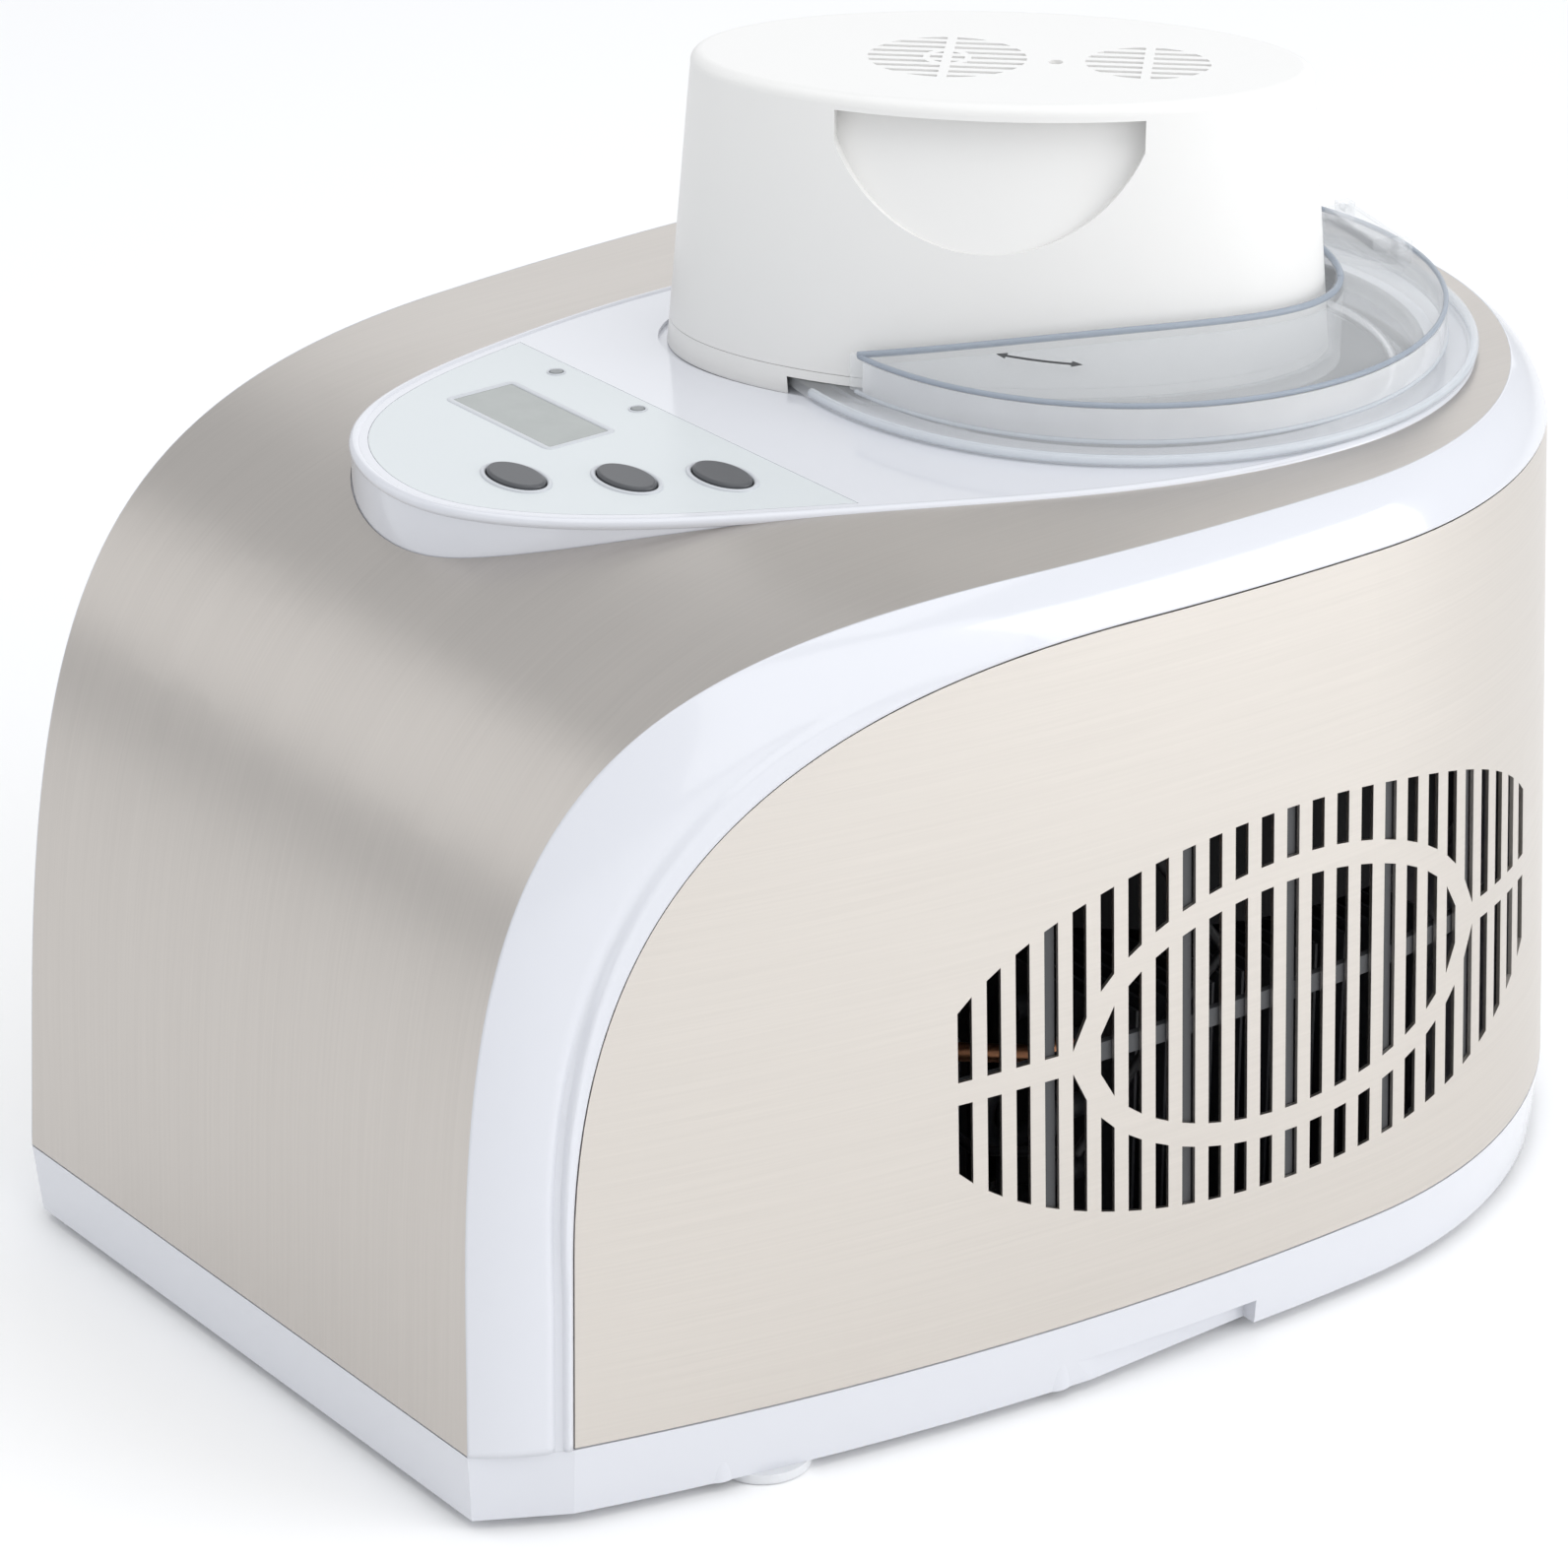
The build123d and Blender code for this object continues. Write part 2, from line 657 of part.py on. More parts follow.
def button_switches():
    parts = []
    for x, y in button_places.values():
        parts.append(block((x - 3, y - 3, board_z + 1.6), (x + 3, y + 3, switch_top - button_travel - 0.2)))
    return parts


# ---------------------------------------------------------------- cooling well and bowl
def cup(outer, wall, low, high, floor):
    body = cylinder(outer, bowl_x, bowl_y, low, high)
    return body - cylinder(outer - wall, bowl_x, bowl_y, low + floor, high + 1)


well_inner = bowl_radius + bowl_wall + well_gap
well_outer = well_inner + well_wall
well_floor_z = bowl_floor_z - 2.0
flange_z = bowl_rim_z - 3.0


def cooling_well():
    well = cup(well_outer, well_wall, well_floor_z - well_wall, flange_z, well_wall)
    lip = ring(opening_radius + insert_wall, well_inner, bowl_x, bowl_y, flange_z - well_wall, flange_z)
    collar = ring(opening_radius + insert_wall, opening_radius, bowl_x, bowl_y, flange_z, top_z - 8)
    return joined([well, lip, collar])


def evaporator_coil():
    turns = []
    low = well_floor_z + 6
    pitch = (flange_z - 12 - low) / (coil_turns - 1)
    for i in range(coil_turns):
        torus = Torus(well_outer + coil_tube + 0.02, coil_tube)
        turns.append(Pos(bowl_x, bowl_y, low + pitch * i) * torus)
    return turns


foam_inner = well_outer + 2 * coil_tube + 0.3
foam_outer = foam_inner + foam


def insulation():
    low = well_floor_z - well_wall - foam
    body = cylinder(foam_outer, bowl_x, bowl_y, low, flange_z - 6)
    body = body - cylinder(foam_inner, bowl_x, bowl_y, well_floor_z - well_wall, flange_z)
    return body.cut(pipe(tube_routes()[2][0], 2.0), pipe(suction_route(), 3.4))


def removable_bowl():
    outer = bowl_radius + bowl_wall
    bowl = cup(outer, bowl_wall, bowl_floor_z, bowl_rim_z, bowl_wall)
    bowl = fillet(bowl.faces().sort_by(Axis.Z)[0].edges(), 5.0)
    rim = ring(outer + 2.5, outer - 0.5, bowl_x, bowl_y, bowl_rim_z - 2, bowl_rim_z)
    spigot = cylinder(6.0, bowl_x, bowl_y, bowl_floor_z + 0.5, bowl_floor_z + 14)
    spigot += cylinder(shaft_radius, bowl_x, bowl_y, bowl_floor_z + 13.5, bowl_floor_z + 24)
    ears = []
    for side in (-1, 1):
        x0, x1 = sorted((side * (bowl_radius + 1.0), side * (bowl_radius + 3.0)))
        ear = block((bowl_x + x0, bowl_y - 4, bowl_rim_z - 2), (bowl_x + x1, bowl_y + 4, bail_z + 2.6))
        ears.append(ear - rod_x(bail_pin + fit, bowl_y, bail_z, bowl_x + x0 - 1, bowl_x + x1 + 1))
    return joined([bowl, rim, spigot] + ears)


bail_z = bowl_rim_z + 3.0
bail_wire = 1.6
bail_pin = 1.2
bail_radius = bowl_radius - 1.4


def bowl_handle():
    section = Pos(bowl_x + bail_radius, bowl_y, bail_z) * Rot(90, 0, 0) * Circle(bail_wire)
    bow = revolve(section, Axis((bowl_x, bowl_y, 0), (0, 0, 1)), 180)
    pins = []
    for side in (-1, 1):
        low, high = sorted((side * (bail_radius - 0.5), side * (bowl_radius + 3.4)))
        pins.append(rod_x(bail_pin, bowl_y, bail_z, bowl_x + low, bowl_x + high))
    return joined([bow] + pins)


def mixing_paddle():
    low = bowl_floor_z + bowl_wall + 1.0
    stem_top = bowl_rim_z - 1.0
    stem = cylinder(8.5, bowl_x, bowl_y, low + 6, stem_top)
    reach = bowl_radius - 2.5
    arms = []
    for side in (-1, 1):
        x0, x1 = sorted((side * 7.0, side * reach))
        arms.append(block((bowl_x + x0, bowl_y - 2, low + 13), (bowl_x + x1, bowl_y + 2, low + 25)))
        x2, x3 = sorted((side * (reach - 9), side * reach))
        height = 78 if side > 0 else 60
        arms.append(block((bowl_x + x2, bowl_y - 2, low), (bowl_x + x3, bowl_y + 2, low + height)))
        x4, x5 = sorted((side * 26, side * 34))
        arms.append(block((bowl_x + x4, bowl_y - 2, low + 20), (bowl_x + x5, bowl_y + 2, low + 50)))
    arms.append(block((bowl_x + 7, bowl_y - 2, low + 66), (bowl_x + reach, bowl_y + 2, low + 76)))
    scraper = block((bowl_x + 16, bowl_y - 2, low), (bowl_x + reach - 8, bowl_y + 2, low + 5))
    arms.append(scraper)
    arms.append(block((bowl_x + 30, bowl_y - 2, low + 4), (bowl_x + 36, bowl_y + 2, low + 14)))
    body = joined([stem] + arms)
    socket = cylinder(shaft_radius + fit, bowl_x, bowl_y, low - 1, bowl_floor_z + 24.4)
    wide = cylinder(6.0 + air, bowl_x, bowl_y, low - 1, bowl_floor_z + 14.4)
    drive = cylinder(shaft_radius + fit, bowl_x, bowl_y, drive_tip_z + 8.5, stem_top + 1)
    half = shaft_square / 2 + 0.25
    square = block((bowl_x - half, bowl_y - half, drive_tip_z - 0.4), (bowl_x + half, bowl_y + half, drive_tip_z + 9))
    return body.cut(socket, wide, drive, square)


drive_tip_z = bowl_rim_z - 14.0


# ---------------------------------------------------------------- lid and flap
lid_low = insert_flat_z + lid_seat_gap
lid_plate_top = lid_low + lid_flange


def lid_solid(inset):
    """Solid of revolution inside the lid's outer skin, less inset."""
    r = lid_wall_radius - inset
    z1 = lid_shoulder_z - inset * 0.7
    apex = z1 + lid_slope * r
    pts = [(0, lid_low - 2), (r, lid_low - 2), (r, z1), (0, apex)]
    face = Face(Wire.make_polygon([(bowl_x + x, bowl_y, z) for x, z in pts], close=True))
    return revolve(face, Axis((bowl_x, bowl_y, 0), (0, 0, 1)), 360)


shaft_hole = 11.0
flap_gap = 0.35


def drive_shaft_way(grow):
    """Upright oval that the drive unit can be lifted out through."""
    face = in_drive(0, 0, lid_low) * Ellipse(*drive_oval(lid_low, grow))
    return extrude(face, amount=drive_top_z - lid_low, dir=(0, 0, 1))


def lid_whole():
    dome = lid_solid(0) & block((-100, 0, lid_low), (200, 400, 300))
    hollow = lid_solid(lid_wall)
    socket = drive_shaft_way(drive_gap)
    collar = drive_shaft_way(drive_gap + lid_wall) & dome
    roof = dome - hollow
    plate = drive_shaft_way(drive_gap + lid_wall) & block((-200, 0, lid_low), (200, 400, lid_plate_top))
    disc = cylinder(lid_radius, bowl_x, bowl_y, lid_low, lid_plate_top)
    flange = disc - cylinder(lid_wall_radius - lid_wall, bowl_x, bowl_y, lid_low - 1, lid_plate_top + 1)
    body = joined([roof, collar]) - (socket & block((-200, 0, lid_plate_top), (300, 400, 400)))
    body = joined([body, flange, plate & disc])
    spigot = ring(opening_radius - 0.4, opening_radius - 2.2, bowl_x, bowl_y, lid_low - 4, lid_low + 0.1)
    body = joined([body, spigot])
    return body - cylinder(shaft_hole, bowl_x, bowl_y, lid_low - 5, lid_plate_top + 1)


flap_x = (-24.0, 20.0)      # along the hinge
flap_turn = -16.0
flap_out = (50.0, 70.0)     # from the lid's centre towards the hinge
hinge_out = 73.0
hinge_radius = 2.0
hinge_pin = 1.0
hinge_end = 14.0


def at_flap(x, y, z):
    return Pos(bowl_x, bowl_y, 0) * Rot(0, 0, flap_turn) * Pos(x, y, z)


def roof_z(distance):
    """Height of the lid's roof at a distance from its centre."""
    return lid_shoulder_z + lid_slope * (lid_wall_radius - distance)


hinge_z = roof_z(hinge_out) + hinge_radius + 0.9


def flap_zone(grow, low):
    return at_flap(0, 0, 0) * block((flap_x[0] - grow, flap_out[0] - grow, low),
                                    (flap_x[1] + grow, flap_out[1] + grow, lid_shoulder_z + 30))


def hinge_rod(radius, low, high):
    rod = Rot(0, 90, 0) * Cylinder(radius, high - low, align=(Align.CENTER, Align.CENTER, Align.MIN))
    return at_flap(low, hinge_out, hinge_z) * rod


def clear_lid():
    lid = lid_whole() - flap_zone(flap_gap, lid_plate_top + 4)
    lid = max(lid.solids(), key=lambda piece: piece.volume)
    for low, high in ((flap_x[0] + 4, flap_x[0] + 8), (flap_x[1] - 8, flap_x[1] - 4)):
        ear = at_flap(0, 0, 0) * block((low, hinge_out - 2.0, roof_z(hinge_out) - 1.2),
                                       (high, hinge_out + 2.0, hinge_z + 1.8))
        lid = lid + ear
    return lid - hinge_rod(hinge_pin + fit, -60, 60)


def refill_flap():
    plate = (lid_solid(0) - lid_solid(lid_wall)) & flap_zone(0, lid_plate_top + 4)
    parts = [max(plate.solids(), key=lambda piece: piece.volume)]
    inner = flap_x[0] + 8 + air, flap_x[1] - 8 - air
    parts.append(hinge_rod(hinge_radius, *inner))
    parts.append(hinge_rod(hinge_pin, flap_x[0] + 4.5, flap_x[1] - 4.5))
    low = roof_z(flap_out[1]) - 0.6
    arm = block((inner[0], flap_out[1] - 4, low), (inner[1], hinge_out - 0.6, hinge_z + hinge_radius))
    nose = block((inner[0] - 1, flap_out[1], low - 1), (inner[1] + 1, hinge_out, roof_z(flap_out[1]) + 0.4))
    parts.append(at_flap(0, 0, 0) * (arm - nose))
    grip = block((-12, flap_out[0] + 1, roof_z(flap_out[0]) - 1.0), (8, flap_out[0] + 4, roof_z(flap_out[0]) + 2.2))
    parts.append(at_flap(0, 0, 0) * grip)
    return joined(parts)


# ---------------------------------------------------------------- drive unit
drive_seam_z = oval_skirt_z + 6.6
plug_along = -73.0
cover_plate = 2.4
cover_top_z = foot_z + cover_plate


def scoop(side, grow):
    """Finger scoop: half a disc under the top edge, deepest at its straight upper side."""
    high = drive_top_z - 4.0 + grow
    wide = scoop_half + grow
    low = drive_top_z - 4.0 - scoop_drop - grow
    bend = high - 8.0
    arc = Edge.make_three_point_arc((-wide, 0, bend), (0, 0, low), (wide, 0, bend))
    top = Edge.make_line((wide, 0, high), (-wide, 0, high))
    left = Edge.make_line((-wide, 0, high), (-wide, 0, bend))
    right = Edge.make_line((wide, 0, bend), (wide, 0, high))
    shape = extrude(Face(Wire([left, arc, right, top])), amount=60, dir=(0, -1, 0))
    place = in_drive(0, 12, 0) if side > 0 else in_drive(0, -12, 0) * Rot(0, 0, 180)
    wires = []
    for z, sunk in ((low - 2, 0.0), (high + 1, scoop_depth)):
        a, b = drive_oval(z, -sunk - grow)
        plane = Plane((0, drive_y, z), x_dir=(cos(radians(drive_turn)), sin(radians(drive_turn)), 0))
        wires.append(Wire([Edge.make_ellipse(a, b, plane)]))
    return place * shape - Solid.make_loft(wires, ruled=True)


grille_depth = 1.5
dimple_place = (11.9, 245.2)


def slat_grille(half, u, v, ring_radius):
    """Blind slots along an oval, broken by an inner ring and a bar across the middle."""
    pitch, gap = 3.8, 1.8
    low, high = drive_top_z - grille_depth, drive_top_z + 5
    count = int(half[1] / pitch)
    zone = Pos(0, 0, low) * extrude(Ellipse(*half), amount=high - low, dir=(0, 0, 1))
    slots = [block((-50, i * pitch - gap / 2, low), (50, i * pitch + gap / 2, high))
             for i in range(-count, count + 1)]
    keep = [block((-1.2, -50, low - 1), (1.2, 50, high + 1))]
    if ring_radius:
        keep.append(ring(ring_radius, ring_radius - 1.6, 0, 0, low - 1, high + 1))
    shapes = [(slot & zone).cut(*keep) for slot in slots]
    place = in_drive(u, v, 0)
    return [place * piece for shape in shapes for piece in shape.solids()]


def motor_housing():
    outer = drive_loft(drive_seam_z + 0.15, drive_top_z)
    outer = fillet(outer.edges().sort_by(Axis.Z)[-1], 3.0)
    inner = drive_loft(drive_seam_z - 1, drive_top_z - drive_wall, -drive_wall)
    inner = inner.cut(scoop(1, drive_wall), scoop(-1, drive_wall))
    body = outer.cut(inner, scoop(1, 0), scoop(-1, 0))
    cuts = slat_grille((19.8, 16.0), -13.3, 2.0, 6.0) + slat_grille((15.6, 12.5), 36.5, 1.5, 0)
    cuts.append(cylinder(1.8, *dimple_place, drive_top_z - 1.0, drive_top_z + 1))
    return body.cut(*cuts)


def motor_base_cover():
    body = drive_loft(oval_skirt_z, drive_seam_z)
    room = drive_loft(cover_top_z, drive_seam_z + 2, -drive_wall)
    over_lid = cylinder(lid_radius + 1.5, bowl_x, bowl_y, 190, foot_z)
    body = body.cut(room, over_lid)
    lip = drive_loft(cover_top_z - 0.5, drive_seam_z + 5, -drive_wall - 0.15)
    lip = lip - drive_loft(cover_top_z - 1, drive_seam_z + 6, -drive_wall - 1.7)
    boss = cylinder(shaft_hole - air, bowl_x, bowl_y, lid_low - 1.5, cover_top_z)
    plug = in_drive(plug_along, 0, 0) * block((-7.7, -4.7, insert_flat_z - 4.5), (7.7, 4.7, cover_top_z))
    axle = in_drive(*idler_at, 0) * Cylinder(3.0, gear_plate_z - cover_top_z + 0.5,
                                             align=(Align.CENTER, Align.CENTER, Align.MIN))
    axle = Pos(0, 0, cover_top_z - 0.5) * axle
    parts = [body, lip, boss, plug, axle]
    for u, v in pillar_places:
        parts.append(cylinder(3.2, *along(u, v), cover_top_z - 0.5, gear_plate_z))
    body = joined(parts)
    cuts = [cylinder(bush_radius, bowl_x, bowl_y, 190, cover_top_z + 1)]
    for i in (-1, 0, 1):
        cuts.append(cylinder(1.3, *along(plug_along + 4.6 * i), insert_flat_z - 5, insert_flat_z - 0.6))
    for u, v in pillar_places:
        cuts.append(cylinder(screw_radius, *along(u, v), gear_plate_z - 8, gear_plate_z + 1))
    return body.cut(*cuts)


# gears: centres as (along, across) in the oval's own frame
module = 1.5
gear_plate_z = cover_top_z + 20.0
output_at = ((bowl_x * cos(radians(drive_turn)) + (bowl_y - drive_y) * sin(radians(drive_turn))),
             (bowl_x * sin(radians(drive_turn)) - (bowl_y - drive_y) * cos(radians(drive_turn))))
first_pair = module * (pinion_teeth + large_teeth) / 2
second_pair = module * (small_teeth + output_teeth) / 2
span = hypot(output_at[0] - motor_along, output_at[1])
share = (first_pair ** 2 - second_pair ** 2 + span ** 2) / (2 * span)
rise = sqrt(first_pair ** 2 - share ** 2)
line = ((output_at[0] - motor_along) / span, output_at[1] / span)
idler_at = (motor_along + share * line[0] - rise * line[1], share * line[1] + rise * line[0])
pillar_places = [(-60.0, 14.0), (-60.0, -14.0), (6.0, -35.0)]
bush_radius = 7.6


def toward(a, b):
    """Direction in plan, in degrees, from one gear centre to another."""
    (xa, ya), (xb, yb) = along(*a), along(*b)
    return degrees(atan2(yb - ya, xb - xa))


def gear(teeth, centre, low, high, phase):
    """Spur gear with stub teeth; one tooth points along phase (degrees)."""
    r = module * teeth / 2
    pitch = 2 * pi / teeth
    pts = []
    for i in range(teeth):
        mid = radians(phase) + i * pitch
        for radius, part in ((r - 1.15 * module, -0.27), (r + 0.1 * module, -0.18),
                             (r + 0.8 * module, -0.09), (r + 0.8 * module, 0.09),
                             (r + 0.1 * module, 0.18), (r - 1.15 * module, 0.27)):
            angle = mid + part * pitch
            pts.append((radius * cos(angle), radius * sin(angle)))
    x, y = along(*centre)
    return Pos(x, y, 0) * prism(pts, low, high)


motor_at = (motor_along, 0.0)
upper = (cover_top_z + 11.0, cover_top_z + 17.5)
lower = (cover_top_z + 2.5, cover_top_z + 9.5)


def drive_pinion():
    x, y = along(*motor_at)
    wheel = gear(pinion_teeth, motor_at, upper[0] - 0.5, upper[1] + 0.5, toward(motor_at, idler_at))
    return wheel - cylinder(motor_shaft + fit, x, y, 200, 300)


motor_shaft = 2.5


def idler_gear():
    x, y = along(*idler_at)
    large_phase = toward(idler_at, motor_at) + 180 / large_teeth
    large = gear(large_teeth, idler_at, *upper, large_phase)
    small = gear(small_teeth, idler_at, lower[0] - 0.5, upper[0] + 0.1, toward(idler_at, output_at))
    holes = []
    for i in range(6):
        angle = radians(60 * i)
        holes.append(cylinder(4.5, x + 19 * cos(angle), y + 19 * sin(angle), 200, 300))
    return (large + small).cut(cylinder(3.0 + fit, x, y, 200, 300), *holes)


def output_gear():
    phase = toward(output_at, idler_at) + 180 / output_teeth
    wheel = gear(output_teeth, output_at, *lower, phase)
    shaft = cylinder(shaft_radius, bowl_x, bowl_y, drive_tip_z + 9, lower[1] + 0.8)
    corner = shaft_square / 2
    tip = block((bowl_x - corner, bowl_y - corner, drive_tip_z), (bowl_x + corner, bowl_y + corner,
                                                                 drive_tip_z + 9.5))
    return joined([wheel, shaft, tip])


shaft_square = 6.8


def shaft_bush():
    return ring(bush_radius, shaft_radius + fit, bowl_x, bowl_y, lid_low - 1.5, cover_top_z + 1.2)


def gear_plate():
    pts = [(-68, -12), (-60, -20), (4, -40), (12, -36), (12, 14), (4, 17), (-56, 22), (-67, 16)]
    plate = prism([along(u, v) for u, v in pts], gear_plate_z, gear_plate_z + 1.6)
    cuts = [cylinder(6.0, *along(*motor_at), 200, 300)]
    for u, v in pillar_places:
        cuts.append(cylinder(screw_radius + 0.1, *along(u, v), 200, 300))
    return plate.cut(*cuts)


def gear_plate_screws():
    screws = []
    top = gear_plate_z + 1.6
    for u, v in pillar_places:
        x, y = along(u, v)
        screws.append(cylinder(2.8, x, y, top, top + 2) + cylinder(screw_radius, x, y, top - 8, top + 0.5))
    return screws


motor_radius = 21.0


def drive_motor():
    x, y = along(*motor_at)
    low = gear_plate_z + 1.6
    can = cylinder(motor_radius, x, y, low, low + 36)
    can = fillet(can.edges().sort_by(Axis.Z)[-1], 2.5)
    boss = cylinder(5.8, x, y, low - 1.6, low + 0.5)
    shaft = cylinder(motor_shaft, x, y, upper[0] - 1, low + 1)
    cap = cylinder(8.0, x, y, low + 35.5, low + 39)
    parts = [can, boss, shaft, cap]
    for side in (-1, 1):
        parts.append(block((x - 1, y + side * 13 - 2.5, low + 35), (x + 1, y + side * 13 + 2.5, low + 41)))
    return joined(parts)


def drive_socket():
    low = insert_flat_z - insert_wall - 9
    cup = in_drive(plug_along, 0, 0) * (block((-10.5, -7.5, low), (10.5, 7.5, insert_flat_z - insert_wall))
                                        - block((-8, -5, low + 3), (8, 5, insert_flat_z)))
    return cup


def socket_pins():
    low = insert_flat_z - insert_wall - 9 + 3
    return [cylinder(0.9, *along(plug_along + 4.6 * i), low, insert_flat_z - 2.5) for i in (-1, 0, 1)]


# ---------------------------------------------------------------- cooling system and electrics
def pipe(points, radius):
    """Tube through a row of points, rounded with a ball at every corner."""
    parts = []
    for a, b in zip(points, points[1:]):
        length = sqrt(sum((q - p) ** 2 for p, q in zip(a, b)))
        plane = Plane(origin=a, z_dir=[(q - p) / length for p, q in zip(a, b)])
        parts.append(plane * Cylinder(radius, length, align=(Align.CENTER, Align.CENTER, Align.MIN)))
    for point in points[1:-1]:
        parts.append(Pos(*point) * Sphere(radius))
    return joined(parts)


floor_z = floor_gap + base_wall
comp_x, comp_y = 0.0, 98.0
comp_radius = 50.0
comp_low = floor_z + 10.0
comp_high = 138.0
grommet_places = [(comp_x + 48, comp_y - 40), (comp_x - 48, comp_y - 40), (comp_x + 48, comp_y + 40),
                  (comp_x - 48, comp_y + 40)]


def compressor_bracket():
    plate = block((comp_x - 62, comp_y - 48, floor_z), (comp_x + 62, comp_y + 48, floor_z + 2))
    studs = [cylinder(2.5, x, y, floor_z + 1.5, comp_low + 5) for x, y in grommet_places]
    return joined([plate] + studs)


def compressor_grommets():
    return [ring(7.0, 2.55, x, y, floor_z + 2, comp_low) for x, y in grommet_places]


def compressor_shell():
    body = cylinder(comp_radius, comp_x, comp_y, comp_low + 2, comp_high)
    body = fillet(body.edges().sort_by(Axis.Z)[-1], 24)
    belt = cylinder(comp_radius + 2.2, comp_x, comp_y, 74, 79)
    plate = block((comp_x - 57, comp_y - 48, comp_low), (comp_x + 57, comp_y + 48, comp_low + 2.5))
    cap = block((comp_x + comp_radius - 8, comp_y - 16, 44), (comp_x + comp_radius + 12, comp_y + 16, 84))
    body = joined([body, belt, plate, cap])
    return body.cut(*[cylinder(2.6, x, y, comp_low - 2, comp_low + 8) for x, y in grommet_places])


cond_box = ((66.0, 186.0, floor_z + 4.0), (112.0, 286.0, 84.0))
tube_radius = 3.0


def condenser_runs():
    (x0, y0, z0), (x1, y1, z1) = cond_box
    runs = []
    for column in range(2):
        for row in range(4):
            runs.append((x0 + 12 + 22 * column, z0 + 10 + (z1 - z0 - 20) / 3 * row))
    return runs


def condenser_fins():
    (x0, y0, z0), (x1, y1, z1) = cond_box
    count = 20
    step = (y1 - y0 - 0.8) / count
    plates = [block((x0, y0 + step * i, z0), (x1, y0 + step * i + 0.8, z1)) for i in range(count + 1)]
    pan = [block((x0, y0, z0 - 1.5), (x1, y1, z0))]
    holes = [rod_y(tube_radius + 0.02, x, z, y0 - 5, y1 + 5) for x, z in condenser_runs()]
    return joined(plates + pan).cut(*holes)


def condenser_coil():
    (x0, y0, z0), (x1, y1, z1) = cond_box
    runs = condenser_runs()
    parts = [rod_y(tube_radius, x, z, y0 - 6, y1 + 6) for x, z in runs]
    for k in range(2):
        column = runs[4 * k:4 * k + 4]
        for i, (a, b) in enumerate(zip(column, column[1:])):
            y = y1 + 6 if i % 2 == 0 else y0 - 6
            mid = (a[1] + b[1]) / 2
            bend = Pos(a[0], y, a[1]) * Circle(tube_radius)
            face = Pos(a[0], y, a[1]) * Rot(90, 0, 0) * Circle(tube_radius)
            turn = 180 if i % 2 == 0 else -180
            parts.append(revolve(face, Axis((a[0], y, mid), (1, 0, 0)), turn))
    return joined(parts)


fan_y, fan_z = 236.0, 48.0
fan_radius = 33.0
fan_x = 44.0
fan_hub = 11.0


def fan_shroud():
    plate = block((fan_x, fan_y - 44, floor_z), (fan_x + 3, fan_y + 44, 88))
    plate -= rod_x(fan_radius + 2, fan_y, fan_z, fan_x - 1, fan_x + 5)
    mouth = rod_x(fan_radius + 4, fan_y, fan_z, fan_x, fan_x + 16)
    mouth -= rod_x(fan_radius + 2, fan_y, fan_z, fan_x - 1, fan_x + 17)
    arms = [block((fan_x - 7, fan_y - 40, fan_z - 3), (fan_x, fan_y - 36, fan_z + 3)),
            block((fan_x - 7, fan_y + 36, fan_z - 3), (fan_x, fan_y + 40, fan_z + 3)),
            block((fan_x - 10, fan_y - 40, fan_z - 3), (fan_x - 7, fan_y + 40, fan_z + 3))]
    seat = rod_x(15.0, fan_y, fan_z, fan_x - 10, fan_x - 7)
    body = joined([plate, mouth] + arms + [seat])
    return body - rod_x(2.4, fan_y, fan_z, fan_x - 20, fan_x + 30)


def fan_motor():
    can = rod_x(14.0, fan_y, fan_z, fan_x - 32, fan_x - 10)
    shaft = rod_x(1.5, fan_y, fan_z, fan_x - 11, fan_x + 8)
    return can + shaft


def fan_blades():
    hub = rod_x(fan_hub, fan_y, fan_z, fan_x - 2, fan_x + 12)
    blade = Pos(fan_x + 5, fan_y, fan_z) * Rot(0, 0, 32) * block((-0.9, -9, 5), (0.9, 9, fan_radius - 2))
    blade = blade & rod_x(fan_radius, fan_y, fan_z, fan_x - 4, fan_x + 15)
    axis = Axis((0, fan_y, fan_z), (1, 0, 0))
    blades = [blade.rotate(axis, 360 / 5 * i) for i in range(5)]
    return joined([hub] + blades) - rod_x(1.5 + fit, fan_y, fan_z, fan_x - 5, fan_x + 9)


drier_x, drier_y = -64.0, 182.0


def filter_drier():
    x, y = drier_x, drier_y
    body = cylinder(8.0, x, y, 34, 84)
    ends = [Pos(x, y, 84) * Cone(8, 2.6, 8, align=(Align.CENTER, Align.CENTER, Align.MIN)),
            Pos(x, y, 26) * Cone(2.6, 8, 8, align=(Align.CENTER, Align.CENTER, Align.MIN))]
    stand = block((x - 5, y + 7, floor_z), (x + 5, y + 10, 60))
    return joined([body, stand] + ends)


def tube_routes():
    """The refrigerant tubes between the pieces, each as (points, radius)."""
    (x0, y0, z0), (x1, y1, z1) = cond_box
    runs = condenser_runs()
    far_x, far_z = runs[7]
    near_x, near_z = runs[0]
    end_y = y0 - 6.05
    coil_low = well_floor_z + 6
    coil_x = bowl_x - well_outer - coil_tube
    hot = [(14, comp_y + 14, comp_high + 0.05), (14, comp_y + 14, comp_high + 10), (84, 152, comp_high + 8),
           (84, 152, far_z), (far_x, y0 - 16, far_z), (far_x, end_y, far_z)]
    link = [(near_x, end_y, near_z), (near_x, y0 - 14, near_z), (drier_x, y0 - 14, near_z),
            (drier_x, drier_y, near_z), (drier_x, drier_y, 25.95)]
    liquid = [(drier_x, drier_y, 92.05), (drier_x, drier_y, 98), (-84, 202, 98), (-84, 202, coil_low),
              (coil_x - 6, bowl_y - 30, coil_low), (coil_x - 4.2, bowl_y - 20, coil_low)]
    return [(hot, 2.4), (link, 2.0), (liquid, 1.6)]


